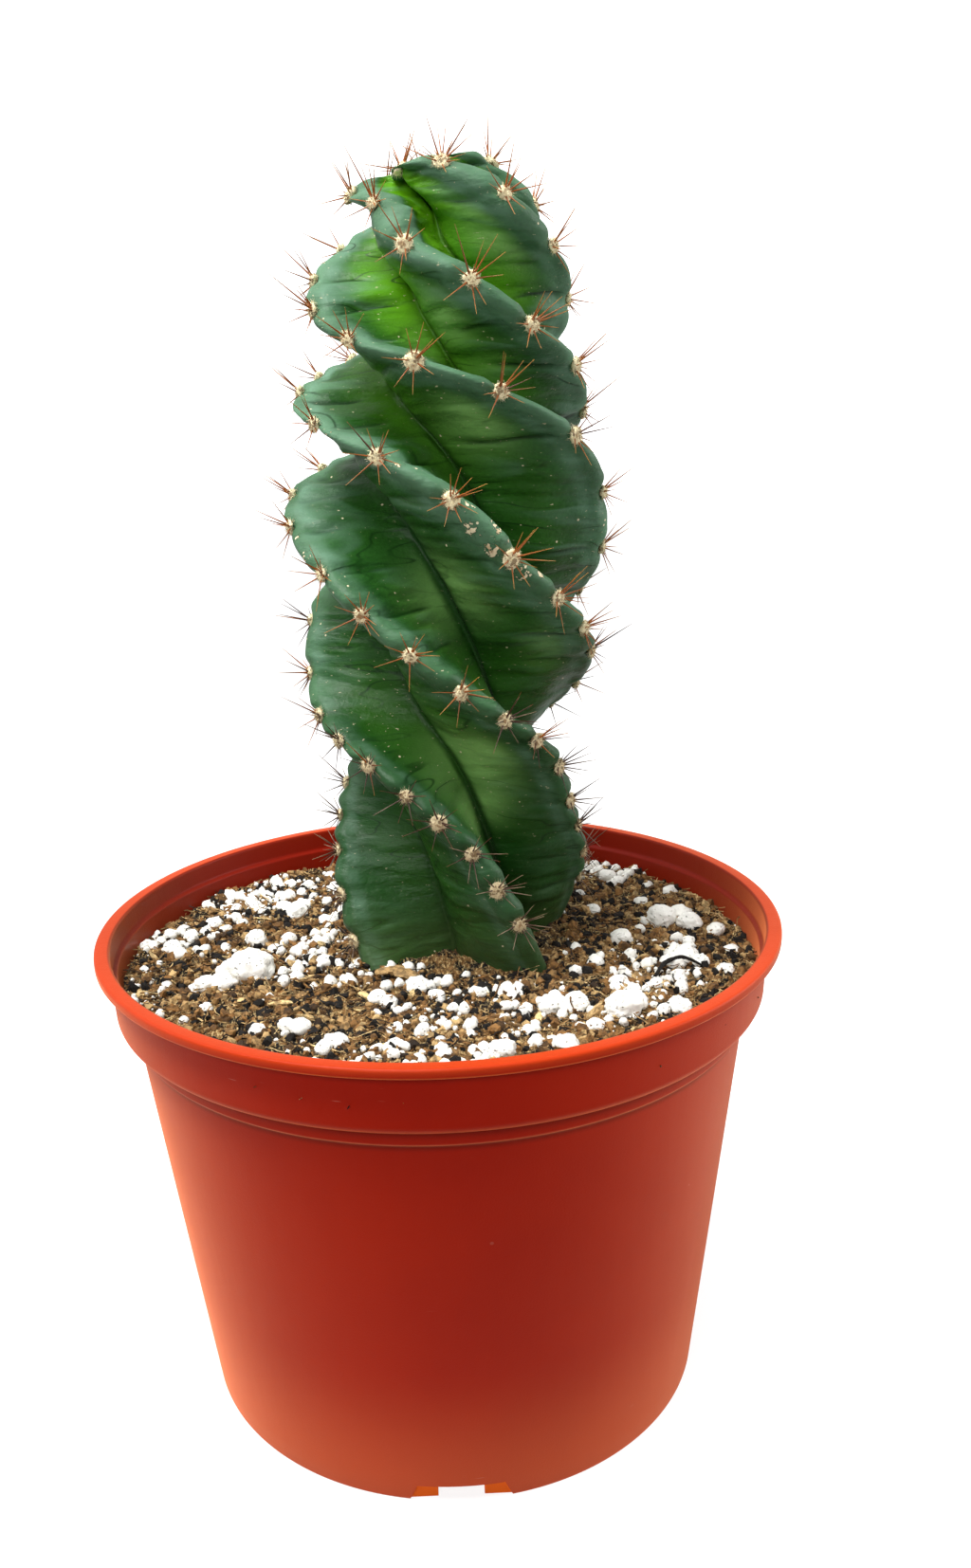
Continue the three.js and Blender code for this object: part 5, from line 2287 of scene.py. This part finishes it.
@dataclass
class Studio:
    """A white floor, soft lights and the camera at the photograph's angle."""

    image: tuple = (1024, 1654)
    focal_pixels: float = 1390.3
    centre_pixel: tuple = (469.29, 885.19)
    eye: tuple = (0.0, -294.97, 228.35)
    pitch: float = 17.69
    yaw: float = 0.50
    roll: float = -2.27
    sensor: float = 36.0
    floor_size: float = 6000.0
    aim: tuple = (0.0, 0.0, 0.13)
    # name, place and size in metres, and power in watts of each lamp
    lamps: tuple = (
        ("overhead", (-0.35, -0.2, 1.25), (0.6, 0.6), 21.0),
        ("left", (-1.1, 0.3, 0.75), (0.6, 1.0), 4.0),
        ("right", (1.1, 0.1, 0.5), (0.6, 1.0), 9.0),
        ("front", (-0.3, -1.15, 0.8), (0.6, 0.6), 7.5),
    )

    def camera(self) -> None:
        """Makes the camera and gives it to the scene."""
        pitch, yaw, roll = (math.radians(angle) for angle in (self.pitch, self.yaw, self.roll))
        forward = Vector(
            (math.sin(yaw) * math.cos(pitch), math.cos(yaw) * math.cos(pitch), -math.sin(pitch))
        )
        right = Vector((math.cos(yaw), -math.sin(yaw), 0.0))
        up = right.cross(forward)
        turned_right = right * math.cos(roll) + up * math.sin(roll)
        turned_up = up * math.cos(roll) - right * math.sin(roll)
        data = bpy.data.cameras.new("camera")
        width, height = self.image
        data.sensor_fit = "VERTICAL"
        data.sensor_height = self.sensor
        data.sensor_width = self.sensor
        data.lens = self.focal_pixels / height * self.sensor
        data.shift_x = (width / 2 - self.centre_pixel[0]) / height
        data.shift_y = (self.centre_pixel[1] - height / 2) / height
        data.clip_start, data.clip_end = 0.01, 20.0
        camera = bpy.data.objects.new("camera", data)
        axes = Matrix((turned_right, turned_up, -forward)).transposed()
        camera.matrix_world = Matrix.Translation(Vector(self.eye) * MM) @ axes.to_4x4()
        bpy.context.scene.collection.objects.link(camera)
        bpy.context.scene.camera = camera

    def floor(self) -> None:
        """Lays the pale floor."""
        half = self.floor_size / 2
        corners = np.array([(-half, -half, 0), (half, -half, 0), (half, half, 0), (-half, half, 0)])
        floor = mesh_object("floor", corners, [(0, 1, 2, 3)])
        floor.data.materials.append(StudioPaper().material())

    def lamp(
        self, name: str, place: Sequence[float], size: tuple[float, float], power: float
    ) -> None:
        """Hangs a soft rectangular light that faces the plant.

        Args:
            name: the light's name.
            place: where it hangs, in metres.
            size: its width and height in metres.
            power: its power in watts.
        """
        data = bpy.data.lights.new(name, "AREA")
        data.shape = "RECTANGLE"
        data.size, data.size_y = size
        data.energy = power
        lamp = bpy.data.objects.new(name, data)
        towards = Vector(self.aim) - Vector(place)
        aim = towards.to_track_quat("-Z", "Y").to_matrix().to_4x4()
        lamp.matrix_world = Matrix.Translation(Vector(place)) @ aim
        bpy.context.scene.collection.objects.link(lamp)

    def lights(self) -> None:
        """Sets the lamps and the sky: white to the camera, and dark towards its side."""
        for lamp in self.lamps:
            self.lamp(*lamp)
        world = bpy.data.worlds.new("sky")
        world.use_nodes = True
        book = NodeBook(world.node_tree)
        seen = book.add("ShaderNodeLightPath", output="Is Camera Ray")
        way = book.add("ShaderNodeTexCoord", output="Generated")
        back = book.add("ShaderNodeSeparateXYZ", {}, {0: way}, "Y")
        strength = 0.04 + back.rise(-0.35, 0.4) * 0.6 + seen * 1.2
        feeds = {"Color": (1.0, 1.0, 1.0, 1.0), "Strength": strength}
        sky = book.node("ShaderNodeBackground", {}, feeds)
        out = book.node("ShaderNodeOutputWorld")
        world.node_tree.links.new(sky.outputs[0], out.inputs["Surface"])
        scene = bpy.context.scene
        scene.world = world
        scene.view_settings.view_transform = "Standard"
        scene.view_settings.look = "None"

    def build(self) -> None:
        """Sets up the whole studio."""
        self.camera()
        self.floor()
        self.lights()


def main() -> None:
    """Builds and dresses each part of the plant and its pot."""
    logging.basicConfig(level=logging.INFO, format="%(name)s %(message)s")
    Studio().build()
    LOG.info("studio is set")

    hand_over(NurseryPot().build(), PotPlastic().material(), ["pot"])

    ground = Ground()
    hand_over(ground.body(), Peat().material(), ["soil"])
    scatter = Scatter(ground.top())
    bits = PeatBits().material()
    loose = [scatter.bits(CRUMB, bits), scatter.bits(BARK_CHIP, bits), scatter.fibres(bits)]
    for piece in loose + Litter().build(bits):
        hand_over(piece, None)
    stone = PerliteStone().material()
    hand_over(scatter.bits(PERLITE_GRAIN, stone), None)
    bpy.data.objects.remove(scatter.top)
    PerliteLumps(ground).build(stone)

    form = StemForm()
    hand_over(CactusBody(form).build(), CactusSkin().material(), ["cactus"])
    areoles = Areoles(form)
    hand_over(areoles.wool(AreoleWool().material()), None, ["cactus"])
    hand_over(areoles.spines(SpineHorn().material()), None, ["cactus"])


if __name__ == "__main__":
    main()
